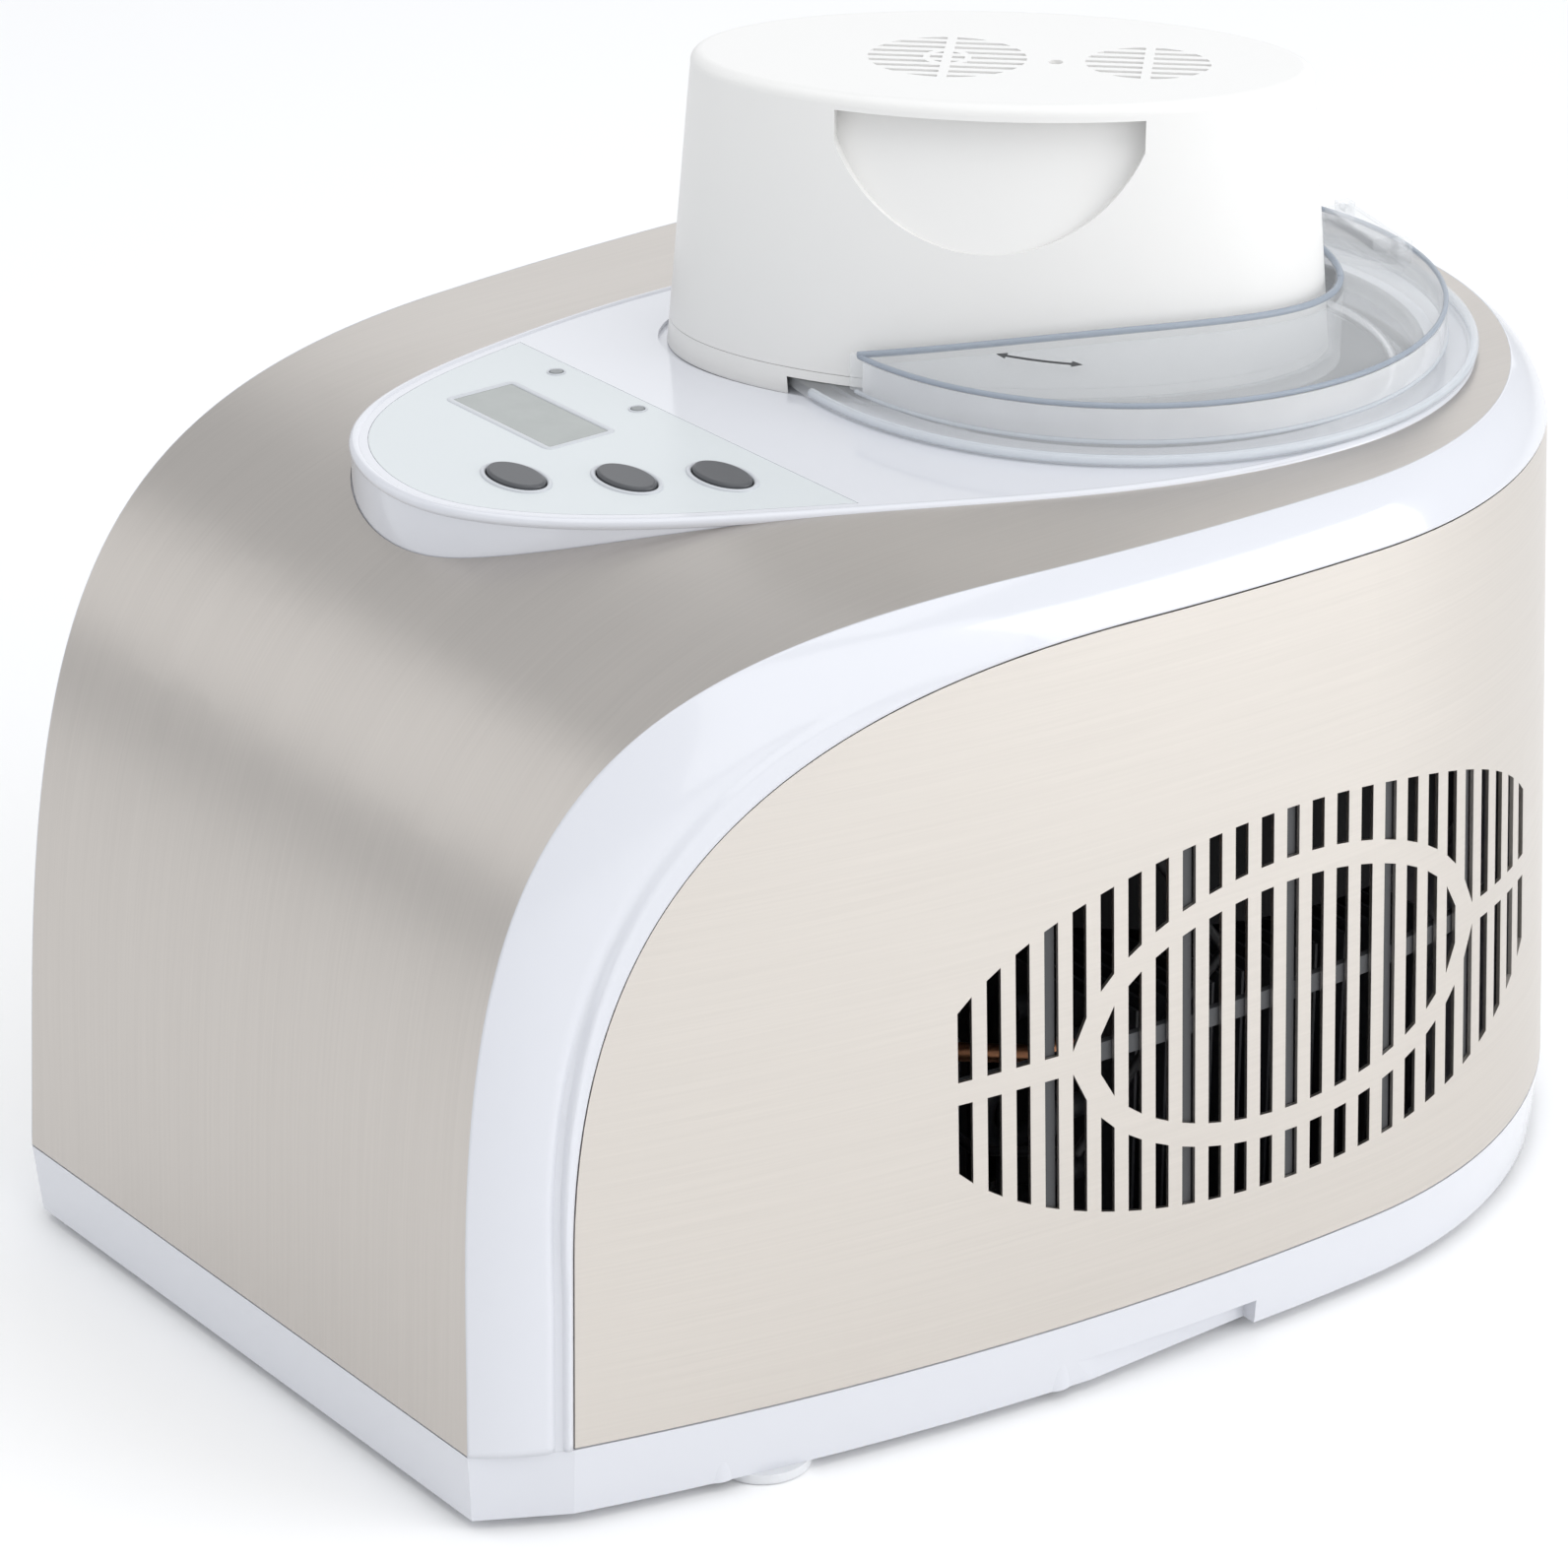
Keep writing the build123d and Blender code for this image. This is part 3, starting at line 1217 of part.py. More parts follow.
def suction_route():
    coil_high = flange_z - 12
    coil_x = bowl_x - well_outer - coil_tube
    return [(coil_x - 5.6, bowl_y - 22, coil_high), (coil_x - 8, bowl_y - 32, coil_high), (-94, 204, coil_high),
            (-94, 150, 124), (-16, comp_y + 10, comp_high + 12), (-16, comp_y + 10, comp_high + 0.05)]


def refrigerant_tubes():
    return [pipe(*route) for route in tube_routes()]


def suction_tube():
    return pipe(suction_route(), 3.0)


board_box = ((-106.0, 196.0, floor_z + 6.0), (-34.0, 290.0, floor_z + 7.6))


def power_board():
    (x0, y0, z0), (x1, y1, z1) = board_box
    board = block((x0, y0, z0), (x1, y1, z1))
    posts = [cylinder(3.0, x, y, floor_z, z0) for x in (x0 + 5, x1 - 5) for y in (y0 + 5, y1 - 5)]
    relay = block((x1 - 24, y0 + 40, z1), (x1 - 6, y0 + 56, z1 + 16))
    caps = [cylinder(6.0, x0 + 60, y0 + 76, z1, z1 + 24), cylinder(4.0, x0 + 46, y0 + 78, z1, z1 + 14)]
    sink = block((x0 + 8, y0 + 66, z1), (x0 + 34, y0 + 69, z1 + 26))
    plugs = [block((x0 + 8, y0 + 4, z1), (x0 + 24, y0 + 11, z1 + 9)),
             block((x1 - 26, y0 + 4, z1), (x1 - 12, y0 + 11, z1 + 9))]
    return joined([board, relay, sink] + posts + caps + plugs)


def transformer():
    (x0, y0, z0), (x1, y1, z1) = board_box
    core = block((x0 + 8, y0 + 20, z1), (x0 + 40, y0 + 56, z1 + 30))
    coil = block((x0 + 4, y0 + 26, z1 + 4), (x0 + 44, y0 + 50, z1 + 25))
    return core + coil


inlet_depth = 22.0
pin_places = ((-7, -1.5), (7, -1.5), (0, 2.0))


def power_inlet():
    body = block((-15, -inlet_depth, -10.5), (15, 1.5, 10.5))
    body -= block((-11.5, 6 - inlet_depth, -7), (11.5, 3, 7))
    for x, z in pin_places:
        body -= block((x - 1, -40, z - 2), (x + 1, 0, z + 2))
    tabs = block((-17.5, -4.4, -10.5), (-14.5, -3.4, 10.5)) + block((14.5, -4.4, -10.5), (17.5, -3.4, 10.5))
    return inlet_place * joined([body, tabs])


def inlet_pins():
    pins = []
    for x, z in pin_places:
        pins.append(inlet_place * block((x - 1, -inlet_depth - 5, z - 2), (x + 1, -6, z + 2)))
    return pins


def wire_red():
    x, y, z = board_box[0][0] + 14, board_box[0][1] + 7.5, board_box[1][2] + 9.05
    return pipe([(x, y, z), (x, y, z + 8), (x, 170, 52), (-40, 158, 60), (60, 152, 62), (112, 146, 64),
                 (124, 158, 70), (124, 182, 92), (121, 206, 108), (108, 180, 150), (60, 142, 172),
                 (20, 118, 188), (20, 118, board_z - 0.05)], 1.3)


def wire_black():
    x, y, z = board_box[1][0] - 19, board_box[0][1] + 7.5, board_box[1][2] + 9.05
    return pipe([(x, y, z), (x, y, z + 8), (x, 172, 50), (30, 160, 52), (100, 150, 54), (122, 164, 58),
                 (122, 188, 82), (118, 214, 96), (104, 188, 140), (52, 152, 160), (-10, 124, 184),
                 (-10, 124, board_z - 0.05)], 1.3)


def inlet_leads():
    leads = []
    for x, target in ((-7, -70.0), (7, -60.0)):
        pts = [(x, 356.4, inlet_z - 1.5), (x, 350, inlet_z - 1.5), (target + 26, 320, 26),
               (target, 300, 24), (target, 286, 22), (target, 286, board_box[1][2] + 0.05)]
        leads.append(pipe(pts, 1.5))
    return leads


def vent_grid(side):
    """Upright ribs behind the side vent, between the two long edges of its window."""
    low, high = vent_z - vent_half_height - 3, vent_z + vent_half_height + 3
    skin = wall_prism(seam_z, side_top_z, 1.3) - wall_prism(seam_z - 1, side_top_z + 1, 3.2)
    ribs = []
    for index in (3, 8, 12, 16, 20, 23):
        y = column_places()[index][1]
        ribs.append(skin & (wall_frame(y, vent_z) * block((-20, -1.6, low - vent_z), (20, 1.6, high - vent_z))))
    bar = skin & block((60, vent_first_y - 7, vent_z - 2.4), (160, rear_centre_y + 76, vent_z + 2.4))
    grid = joined(ribs + [bar])
    return grid if side > 0 else mirror(grid, Plane.YZ)


# ---------------------------------------------------------------- write the nodes
inlet_z = 44.0
inlet_place = Pos(0, rear_centre_y + rear_radius - 3.5, inlet_z)

if __name__ == "__main__":
    save("base_tray", base_tray())
    save("rubber_feet", *rubber_feet())
    save("base_screws", *base_screws())
    save("housing_frame", housing_frame())
    save("front_top_panel", front_top_panel())
    save("side_panel_right", side_panel(1))
    save("side_panel_left", side_panel(-1))
    save("vent_grid_right", vent_grid(1))
    save("vent_grid_left", vent_grid(-1))
    save("rear_cover", rear_cover())
    save("power_inlet", power_inlet())
    save("inlet_pins", *inlet_pins())
    save("inlet_leads", *inlet_leads())
    save("top_insert", top_insert())
    save("control_film", control_film())
    save("display_window", display_window())
    save("lcd_module", lcd_module())
    save("control_board", control_board())
    save("led_lenses", *led_lenses())
    for name, place in button_places.items():
        save(name, button(place))
    save("button_switches", *button_switches())
    save("drive_socket", drive_socket())
    save("socket_pins", *socket_pins())
    save("cooling_well", cooling_well())
    save("evaporator_coil", *evaporator_coil())
    save("insulation", insulation())
    save("compressor_shell", compressor_shell())
    save("compressor_bracket", compressor_bracket())
    save("compressor_grommets", *compressor_grommets())
    save("condenser_fins", condenser_fins())
    save("condenser_coil", condenser_coil())
    save("fan_shroud", fan_shroud())
    save("fan_motor", fan_motor())
    save("fan_blades", fan_blades())
    save("filter_drier", filter_drier())
    save("refrigerant_tubes", *refrigerant_tubes())
    save("suction_tube", suction_tube())
    save("power_board", power_board())
    save("transformer", transformer())
    save("wire_red", wire_red())
    save("wire_black", wire_black())
    save("removable_bowl", removable_bowl())
    save("bowl_handle", bowl_handle())
    save("mixing_paddle", mixing_paddle())
    save("clear_lid", clear_lid())
    save("refill_flap", refill_flap())
    save("motor_housing", motor_housing())
    save("motor_base_cover", motor_base_cover())
    save("shaft_bush", shaft_bush())
    save("gear_plate", gear_plate())
    save("gear_plate_screws", *gear_plate_screws())
    save("drive_motor", drive_motor())
    save("drive_pinion", drive_pinion())
    save("idler_gear", idler_gear())
    save("output_gear", output_gear())
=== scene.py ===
# %% [markdown]
# # An ice cream maker: casing, top, lid and drive unit
# The machine is a solid model first. Each piece of that model is a mesh that already sits in its
# place, in metres, with the floor at z = 0 and the front facing -Y. This lesson gives every piece
# its finish, and adds the surfaces that a plain solid leaves out.

# %% Load the solid model
import json
from math import cos, pi, radians, sin

import bpy
import numpy as np
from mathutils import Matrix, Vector


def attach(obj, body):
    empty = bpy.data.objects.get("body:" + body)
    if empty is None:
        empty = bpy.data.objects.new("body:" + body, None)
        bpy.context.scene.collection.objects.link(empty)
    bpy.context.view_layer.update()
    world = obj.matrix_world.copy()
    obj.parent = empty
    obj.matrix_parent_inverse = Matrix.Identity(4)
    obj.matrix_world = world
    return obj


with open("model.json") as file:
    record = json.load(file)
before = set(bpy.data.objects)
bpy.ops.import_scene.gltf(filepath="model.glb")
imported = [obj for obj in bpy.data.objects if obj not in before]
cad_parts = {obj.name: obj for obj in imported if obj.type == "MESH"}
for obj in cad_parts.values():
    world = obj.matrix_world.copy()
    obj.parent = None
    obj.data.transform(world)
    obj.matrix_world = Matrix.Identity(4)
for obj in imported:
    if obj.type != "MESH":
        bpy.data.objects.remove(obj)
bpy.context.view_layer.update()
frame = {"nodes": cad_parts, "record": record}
nodes = frame["nodes"]

# %% [markdown]
# ## Measures shared by the pieces
# Lengths are easier to think about in millimetres, counted from the front edge of the casing. One
# function turns such points into metres in the model's own frame.

# %% Millimetres to metres
LENGTH = 387.0
TO_MIDDLE = np.array([0.0, -(LENGTH / 2), 0.0])


def metres(points):
    """Points (..., 3) in mm from the front edge, as metres in the model's frame."""
    return (np.asarray(points, float) + TO_MIDDLE) / 1000.0


print("front edge at y =", metres([0, 0, 0])[1])

# %% [markdown]
# ## The camera
# A long lens a metre and a half away keeps the upright lines nearly parallel, as in a catalogue
# picture. The camera looks down on the machine from its front right corner.

# %% Camera
camera_data = bpy.data.cameras.new("camera")
camera_data.sensor_width = 36.0
camera_data.lens = 133.53
camera = bpy.data.objects.new("camera", camera_data)
camera.location = metres([1056.43, -657.57, 734.67])
azimuth, elevation = radians(51.954), radians(24.911)
backwards = Vector((sin(azimuth) * cos(elevation), -cos(azimuth) * cos(elevation), sin(elevation)))
camera.rotation_euler = (-backwards).to_track_quat("-Z", "Y").to_euler()
camera_data.clip_end = 50.0
bpy.context.scene.collection.objects.link(camera)
bpy.context.scene.camera = camera
print("camera at", [round(v, 3) for v in camera.location])

# %% [markdown]
# ## Floor and light
# Glossy white plastic only looks white if it has something white to reflect, so the light comes from
# large soft panels and a bright room, not from small lamps.

# %% Floor
floor_mesh = bpy.data.meshes.new("floor")
REACH = 6
floor_corners = [(-REACH, -REACH, 0), (REACH, -REACH, 0), (REACH, REACH, 0), (-REACH, REACH, 0)]
floor_mesh.from_pydata(floor_corners, [], [(0, 1, 2, 3)])
floor = bpy.data.objects.new("floor", floor_mesh)
bpy.context.scene.collection.objects.link(floor)
floor_material = bpy.data.materials.new("floor_paper")
floor_material.use_nodes = True
floor_shader = floor_material.node_tree.nodes["Principled BSDF"]
floor_shader.inputs["Base Color"].default_value = (0.96, 0.96, 0.96, 1)
floor_shader.inputs["Roughness"].default_value = 0.9
floor_shader.inputs["Specular IOR Level"].default_value = 0.1
floor_mesh.materials.append(floor_material)
print("floor", floor.dimensions[:2])


# %% Light panels
def light_panel(name, place, target, size, power):
    """A soft rectangular light of size (width, height) in metres at place, facing target, in watts."""
    data = bpy.data.lights.new(name, "AREA")
    data.shape = "RECTANGLE"
    data.size, data.size_y = size
    data.energy = power
    lamp = bpy.data.objects.new(name, data)
    lamp.location = place
    aim = Vector(target) - Vector(place)
    lamp.rotation_euler = aim.to_track_quat("-Z", "Y").to_euler()
    bpy.context.scene.collection.objects.link(lamp)


light_panel("panel_top", (0.2, -0.1, 1.9), (0, 0, 0.1), (2.2, 2.2), 17)
light_panel("panel_left", (-1.5, -1.4, 1.1), (0, 0, 0.15), (1.4, 1.4), 3)
light_panel("panel_right", (2.1, 0.1, 0.9), (0, 0, 0.12), (1.2, 1.6), 7)
light_panel("panel_back_right", (1.55, 1.1, 0.7), (0, 0, 0.1), (1.2, 1.2), 13)
light_panel("panel_back_left", (-1.7, 1.6, 1.0), (0, 0, 0.15), (2.4, 1.2), 5)
light_panel("panel_front", (0.6, -2.2, 0.7), (0, 0, 0.12), (1.4, 1.0), 3.5)
world = bpy.data.worlds.new("room")
world.use_nodes = True
room = world.node_tree.nodes["Background"]
room.inputs["Color"].default_value = (0.95, 0.97, 1.0, 1)
room.inputs["Strength"].default_value = 0.66
bpy.context.scene.world = world
bpy.context.scene.view_settings.view_transform = "Standard"


# %% [markdown]
# ## Finishes
# Every finish starts as the same shader. A small helper makes the material and hands back its node
# tree, so that each recipe below is only the few nodes that make it different.

# %% A helper for materials
def new_finish(name, colour, roughness, metallic=0.0, **sockets):
    """A Principled material. Extra sockets are given by name, with _ for the spaces."""
    material = bpy.data.materials.new(name)
    material.use_nodes = True
    shader = material.node_tree.nodes["Principled BSDF"]
    shader.inputs["Base Color"].default_value = (*colour, 1)
    shader.inputs["Roughness"].default_value = roughness
    shader.inputs["Metallic"].default_value = metallic
    for key, value in sockets.items():
        shader.inputs[key.replace("_", " ")].default_value = value
    return material, material.node_tree, shader


def add(tree, kind, **values):
    """A node of that kind, with its sockets or settings given by name."""
    node = tree.nodes.new(kind)
    for key, value in values.items():
        if key in node.inputs:
            node.inputs[key].default_value = value
        else:
            setattr(node, key, value)
    return node


def noise(tree, scale, detail=4.0, stretch=(1, 1, 1), rough=0.55):
    """Noise on Object coordinates, drawn out along an axis by a small number in stretch."""
    place = add(tree, "ShaderNodeTexCoord")
    mapping = add(tree, "ShaderNodeMapping")
    mapping.inputs["Scale"].default_value = stretch
    cloud = add(tree, "ShaderNodeTexNoise", Scale=scale, Detail=detail, Roughness=rough)
    tree.links.new(place.outputs["Object"], mapping.inputs["Vector"])
    tree.links.new(mapping.outputs["Vector"], cloud.inputs["Vector"])
    return cloud.outputs["Fac"]


def remap(tree, value, low, high):
    """value from 0..1 to low..high."""
    node = add(tree, "ShaderNodeMapRange")
    node.inputs["To Min"].default_value = low
    node.inputs["To Max"].default_value = high
    tree.links.new(value, node.inputs["Value"])
    return node.outputs["Result"]


def blend_colours(tree, value, first, second):
    """A colour between first and second by value."""
    node = add(tree, "ShaderNodeMix", data_type="RGBA")
    start, end = [s for s in node.inputs if s.type == "RGBA"]
    start.default_value = (*first, 1)
    end.default_value = (*second, 1)
    tree.links.new(value, node.inputs["Factor"])
    return [s for s in node.outputs if s.type == "RGBA"][0]


def emboss(tree, shader, value, strength, distance):
    """Bump from value into the shader's normal."""
    node = add(tree, "ShaderNodeBump", Strength=strength, Distance=distance)
    tree.links.new(value, node.inputs["Height"])
    tree.links.new(node.outputs["Normal"], shader.inputs["Normal"])


# %% Brushed steel
def brushed_steel(name, colour, across, roughness):
    """Steel sheet with fine lines: noise very fine along the axis `across`, long along the others."""
    material, tree, shader = new_finish(name, colour, roughness, metallic=1.0)
    stretch = [0.012] * 3
    stretch["xyz".index(across)] = 1.0
    lines = noise(tree, 1500.0, 3.0, stretch)
    broad = noise(tree, 160.0, 3.0, stretch)
    darker = tuple(c * 0.93 for c in colour)
    lighter = tuple(min(c * 1.04, 1) for c in colour)
    tree.links.new(blend_colours(tree, lines, darker, lighter), shader.inputs["Base Color"])
    tree.links.new(remap(tree, broad, roughness - 0.03, roughness + 0.04), shader.inputs["Roughness"])
    emboss(tree, shader, lines, 0.14, 0.00005)
    return material


steel_front = brushed_steel("steel_brushed_upright", (0.575, 0.54, 0.505), "x", 0.32)
steel_side = brushed_steel("steel_brushed_along", (0.66, 0.62, 0.575), "z", 0.36)
print("steel finishes:", steel_front.name, steel_side.name)


# %% Moulded plastics
def moulded(name, colour, roughness, grain=0.0, grain_size=900.0, mottling=0.03, **sockets):
    """Moulded plastic: slight unevenness of colour and gloss, and a fine grain where it has one."""
    material, tree, shader = new_finish(name, colour, roughness, **sockets)
    clouds = noise(tree, 22.0, 3.0)
    darker = tuple(c * (1 - mottling) for c in colour)
    tree.links.new(blend_colours(tree, clouds, darker, colour), shader.inputs["Base Color"])
    tree.links.new(remap(tree, clouds, roughness * 0.9, roughness * 1.15), shader.inputs["Roughness"])
    emboss(tree, shader, noise(tree, grain_size, 2.0), max(grain, 0.02), 0.00008)
    return material


white_gloss = moulded("white_gloss", (0.66, 0.672, 0.715), 0.16, Coat_Weight=0.5)
white_satin = moulded("white_satin", (0.80, 0.795, 0.782), 0.38, grain=0.12)
film_grey = moulded("control_film_grey", (0.63, 0.665, 0.68), 0.30, grain=0.10, grain_size=1500.0)
button_grey = moulded("button_dark_grey", (0.075, 0.078, 0.085), 0.35, grain=0.1)
button_rim = moulded("button_rim_grey", (0.55, 0.57, 0.60), 0.3)
black_plastic = moulded("black_plastic", (0.012, 0.012, 0.014), 0.45, grain=0.25)
# Dark fin sheet. On the copper condenser coil the same finish is painted shade, for the dark behind the
# vents.
fin_dark_and_painted_shade = moulded("fin_sheet_dark_and_painted_shade", (0.045, 0.047, 0.052), 0.4, grain=0.1)
dark_plastic = moulded("dark_grey_plastic", (0.05, 0.052, 0.056), 0.5, grain=0.25)
rubber = moulded("foot_rubber", (0.02, 0.02, 0.022), 0.75, grain=0.4)
nylon = moulded("gear_nylon", (0.74, 0.70, 0.58), 0.4, grain=0.1)
foam = moulded("insulation_foam_black", (0.018, 0.018, 0.02), 0.9, grain=0.9, grain_size=300.0,
               mottling=0.25)
red_cover = moulded("wire_red", (0.45, 0.012, 0.012), 0.4)
board_green = moulded("circuit_board_green", (0.02, 0.16, 0.07), 0.35, mottling=0.3)
led_milky = moulded("lamp_lens_grey", (0.22, 0.235, 0.24), 0.25)
foot_pale = moulded("foot_pale", (0.70, 0.71, 0.73), 0.5, grain=0.2)
print("finishes so far:", sum(m.name != "floor_paper" for m in bpy.data.materials))


# %% Metals inside
def metal(name, colour, roughness, grain=0.05, size=400.0, spread=0.12):
    """Bare or plated metal: cloudy reflection from noise in colour and roughness."""
    material, tree, shader = new_finish(name, colour, roughness, metallic=1.0)
    clouds = noise(tree, 60.0, 5.0)
    darker = tuple(c * (1 - spread) for c in colour)
    tree.links.new(blend_colours(tree, clouds, darker, colour), shader.inputs["Base Color"])
    tree.links.new(remap(tree, clouds, roughness * 0.8, roughness * 1.3), shader.inputs["Roughness"])
    emboss(tree, shader, noise(tree, size, 3.0), grain, 0.0001)
    return material


aluminium = metal("aluminium_satin", (0.77, 0.78, 0.79), 0.3)
bright_steel = metal("wire_steel_bright", (0.72, 0.72, 0.73), 0.14, grain=0.02)
zinc_steel = metal("zinc_plated_steel", (0.50, 0.51, 0.50), 0.42, spread=0.3)
copper = metal("copper_tube", (0.70, 0.33, 0.18), 0.3, spread=0.3)
brass = metal("brass", (0.76, 0.58, 0.26), 0.28)
black_paint = moulded("compressor_black_paint", (0.015, 0.015, 0.017), 0.32, grain=0.2, Coat_Weight=0.3)
print("metals made")

# %% Clear lid
def clear_plastic(name, colour, low, high):
    """Clear moulding as a thin tinted film over what lies behind it; low and high bound its cover."""
    material, tree, shader = new_finish(name, colour, 0.05, IOR=1.45)
    clouds = noise(tree, 35.0, 2.0)
    tree.links.new(remap(tree, clouds, low, high), shader.inputs["Alpha"])
    emboss(tree, shader, clouds, 0.03, 0.0002)
    return material


clear = clear_plastic("lid_clear", (0.90, 0.92, 0.94), 0.20, 0.25)
# Edge beads on the socket rim and the shoulder: dark blue-grey, partly the plastic's own tint and
# partly painted shade.
tinted_edge_painted_shade = clear_plastic("lid_edge_tint_and_painted_shade", (0.36, 0.41, 0.48), 0.62, 0.74)
# Pale beads at the wall's foot and the flange: a painted highlight.
painted_highlight_rim = clear_plastic("lid_rim_painted_highlight", (0.74, 0.78, 0.83), 0.45, 0.55)
# Pale film for the band on the lid's wall: painted sheen.
clear_wall_painted_sheen = clear_plastic("lid_wall_painted_sheen", (0.93, 0.94, 0.96), 0.34, 0.46)
display_glass, display_tree, display_shader = new_finish("display_grey_green", (0.33, 0.35, 0.34), 0.18)
tint = noise(display_tree, 120.0, 2.0)
display_tree.links.new(blend_colours(display_tree, tint, (0.30, 0.32, 0.31), (0.36, 0.38, 0.37)),
                       display_shader.inputs["Base Color"])
print("clear finishes made")

# %% [markdown]
# ## Which piece has which finish
# The solid model names a slot for every node. One table turns a slot into a finish, and a second
# one holds the few nodes that get another. The copper condenser coil gets the dark fin finish, as
# painted shade behind the vents.

# %% Put the finishes on the nodes
FINISHES = {
    "steel_front": steel_front, "steel_side": steel_side, "white_gloss": white_gloss,
    "white_satin": white_satin, "film_grey": film_grey, "button_grey": button_grey,
    "display": display_glass, "clear": clear, "black_plastic": black_plastic,
    "dark_plastic": dark_plastic, "rubber": rubber, "aluminium": aluminium,
    "steel_bright": bright_steel, "black_paint": black_paint, "copper": copper, "brass": brass,
    "foam": foam, "board_green": board_green, "zinc_steel": zinc_steel, "red_wire": red_cover,
    "nylon": nylon,
}
slots = {part["node"]: part["material_slot"] for part in frame["record"]["subparts"]}


def give(name, material):
    """One material all over a node."""
    mesh = nodes[name].data
    mesh.materials.clear()
    mesh.materials.append(material)


# The copper condenser coil gets the dark fin finish as painted shade behind the vents.
OWN_FINISH = {
    "led_lenses": led_milky, "rubber_feet": foot_pale, "condenser_fins": fin_dark_and_painted_shade,
    "fan_shroud": fin_dark_and_painted_shade, "condenser_coil": fin_dark_and_painted_shade,
}
for name in nodes:
    give(name, OWN_FINISH.get(name, FINISHES[slots[name]]))
print("finished nodes:", len(nodes))

# %% [markdown]
# ## Surfaces as grids
# The softly crowned white strip is one surface that follows the arch. Such a shape is a function of
# two parameters: how far along the arch, and how far across. Both run over a grid, whole arrays at
# once, and the grid of points becomes a mesh of quads.

# %% Points to a piece
def mesh_piece(name, points, faces, material, body, smooth=True, thick=0.0):
    """A piece from points (n, 3) in mm. thick (mm) gives an open surface a wall."""
    mesh = bpy.data.meshes.new(name)
    mesh.from_pydata(metres(points).tolist(), [], faces)
    mesh.polygons.foreach_set("use_smooth", np.full(len(faces), smooth))
    mesh.materials.append(material)
    mesh.update()
    piece = bpy.data.objects.new(name, mesh)
    bpy.context.scene.collection.objects.link(piece)
    if thick:
        wall = piece.modifiers.new("wall", "SOLIDIFY")
        wall.thickness = thick / 1000.0
        wall.offset = -1.0
    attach(piece, body)
    print(name, "points", len(points))


# %% Grid to mesh
def grid_quads(index):
    """Quads (k, 4) between neighbouring rows and columns of a grid of point numbers."""
    return np.stack([index[:-1, :-1], index[:-1, 1:], index[1:, 1:], index[1:, :-1]], -1).reshape(-1, 4)


def grid_piece(name, points, material, body, around=False, along=False, thick=0.0):
    """A piece from a grid of points (n, m, 3). around closes the second direction, along the first.
    A piece closed both ways is turned so that its volume, the sum of a x b . c over its triangles,
    is positive."""
    n, m = points.shape[:2]
    index = np.arange(n * m).reshape(n, m)
    if around:
        index = np.concatenate([index, index[:, :1]], 1)
    if along:
        index = np.concatenate([index, index[:1]], 0)
    quads = grid_quads(index)
    if around and along:
        a, b, c, d = (points.reshape(-1, 3)[quads[:, i]] - points.mean((0, 1)) for i in range(4))
        volume = (np.cross(a, b) * c).sum() + (np.cross(a, c) * d).sum()
        quads = quads if volume > 0 else quads[:, ::-1]
    mesh_piece(name, points.reshape(-1, 3), quads.tolist(), material, body, thick=thick)


# %% Outlines of the casing
REAR_Y = 244.5  # where the straight sides end and the round rear begins
BASE_TOP = 21.4
TOP_Z, SIDE_TOP_Z = 213.5, 200.0
CROWN_RADIUS, WALL_RADIUS = 124.6, 142.5
LEAN = 0.04  # how far the front leans back, in y for each z


def side_half_width(y, z, radius, bend, draft, level):
    """Half width of the casing: rear radius, less draft times height, less a long arc towards the
    front: r - (bend - sqrt(bend^2 - (REAR_Y - y)^2))."""
    r = radius - draft * (z - level)
    return r - (bend - np.sqrt(bend**2 - np.clip(REAR_Y - y, 0, None) ** 2))


def crown_half(y, z):
    """Half width at the strip's inner edge, beside the front sheet."""
    return side_half_width(y, z, CROWN_RADIUS, 814.0, 0.05, TOP_Z)


def wall_half(y, z):
    """Half width at the strip's outer edge, beside the side sheet."""
    return side_half_width(y, z, WALL_RADIUS, 760.0, 0.045, BASE_TOP)


def arch(start, end_y, pull, top, counts=(24, 90, 60)):
    """Side view of an arch as (y, z): a straight rise, a cubic Bezier bend and a flat run to REAR_Y."""
    rise = np.linspace(BASE_TOP, start[1], counts[0], endpoint=False)
    front = np.stack([start[0] - LEAN * (start[1] - rise), rise], 1)
    t = np.linspace(0, 1, counts[1], endpoint=False)[:, None]
    above_start = (start[0] + LEAN * pull[0], start[1] + pull[0])
    p = np.array([start, above_start, (end_y - pull[1], top), (end_y, top)])
    bend = (1 - t) ** 3 * p[0] + 3 * (1 - t) ** 2 * t * p[1] + 3 * (1 - t) * t**2 * p[2] + t**3 * p[3]
    flat = np.linspace(end_y, REAR_Y, counts[2], endpoint=False)
    return np.concatenate([front, bend, np.stack([flat, np.full_like(flat, top)], 1)])


outer_arch = arch((1.5, 60.0), 147.0, (120.8, 113.3), TOP_Z)
inner_arch = arch((23.4, 70.0), 170.7, (76.8, 111.5), SIDE_TOP_Z)
print("arch stations:", len(outer_arch))

# %% [markdown]
# ## The white strip
# Between the front sheet and the side sheet runs a moulded strip. It is crowned, and low down it
# also has a hollow beside a narrow lip, which fades out towards the top. The two edges of the strip
# are the two arches, and the surface between them is raised along its own normal.

# %% Edges of the strip, right side, round the rear and back down the left
edge_in = np.column_stack([crown_half(*outer_arch.T), outer_arch])
edge_out = np.column_stack([wall_half(*inner_arch.T), inner_arch])
turn = np.linspace(0, pi, 121)[:, None]


def rear_half_circle(radius, z):
    """Half circle round the rear, from the right side to the left, as (121, 3)."""
    return np.hstack([radius * np.cos(turn), REAR_Y + radius * np.sin(turn), z + 0 * turn])


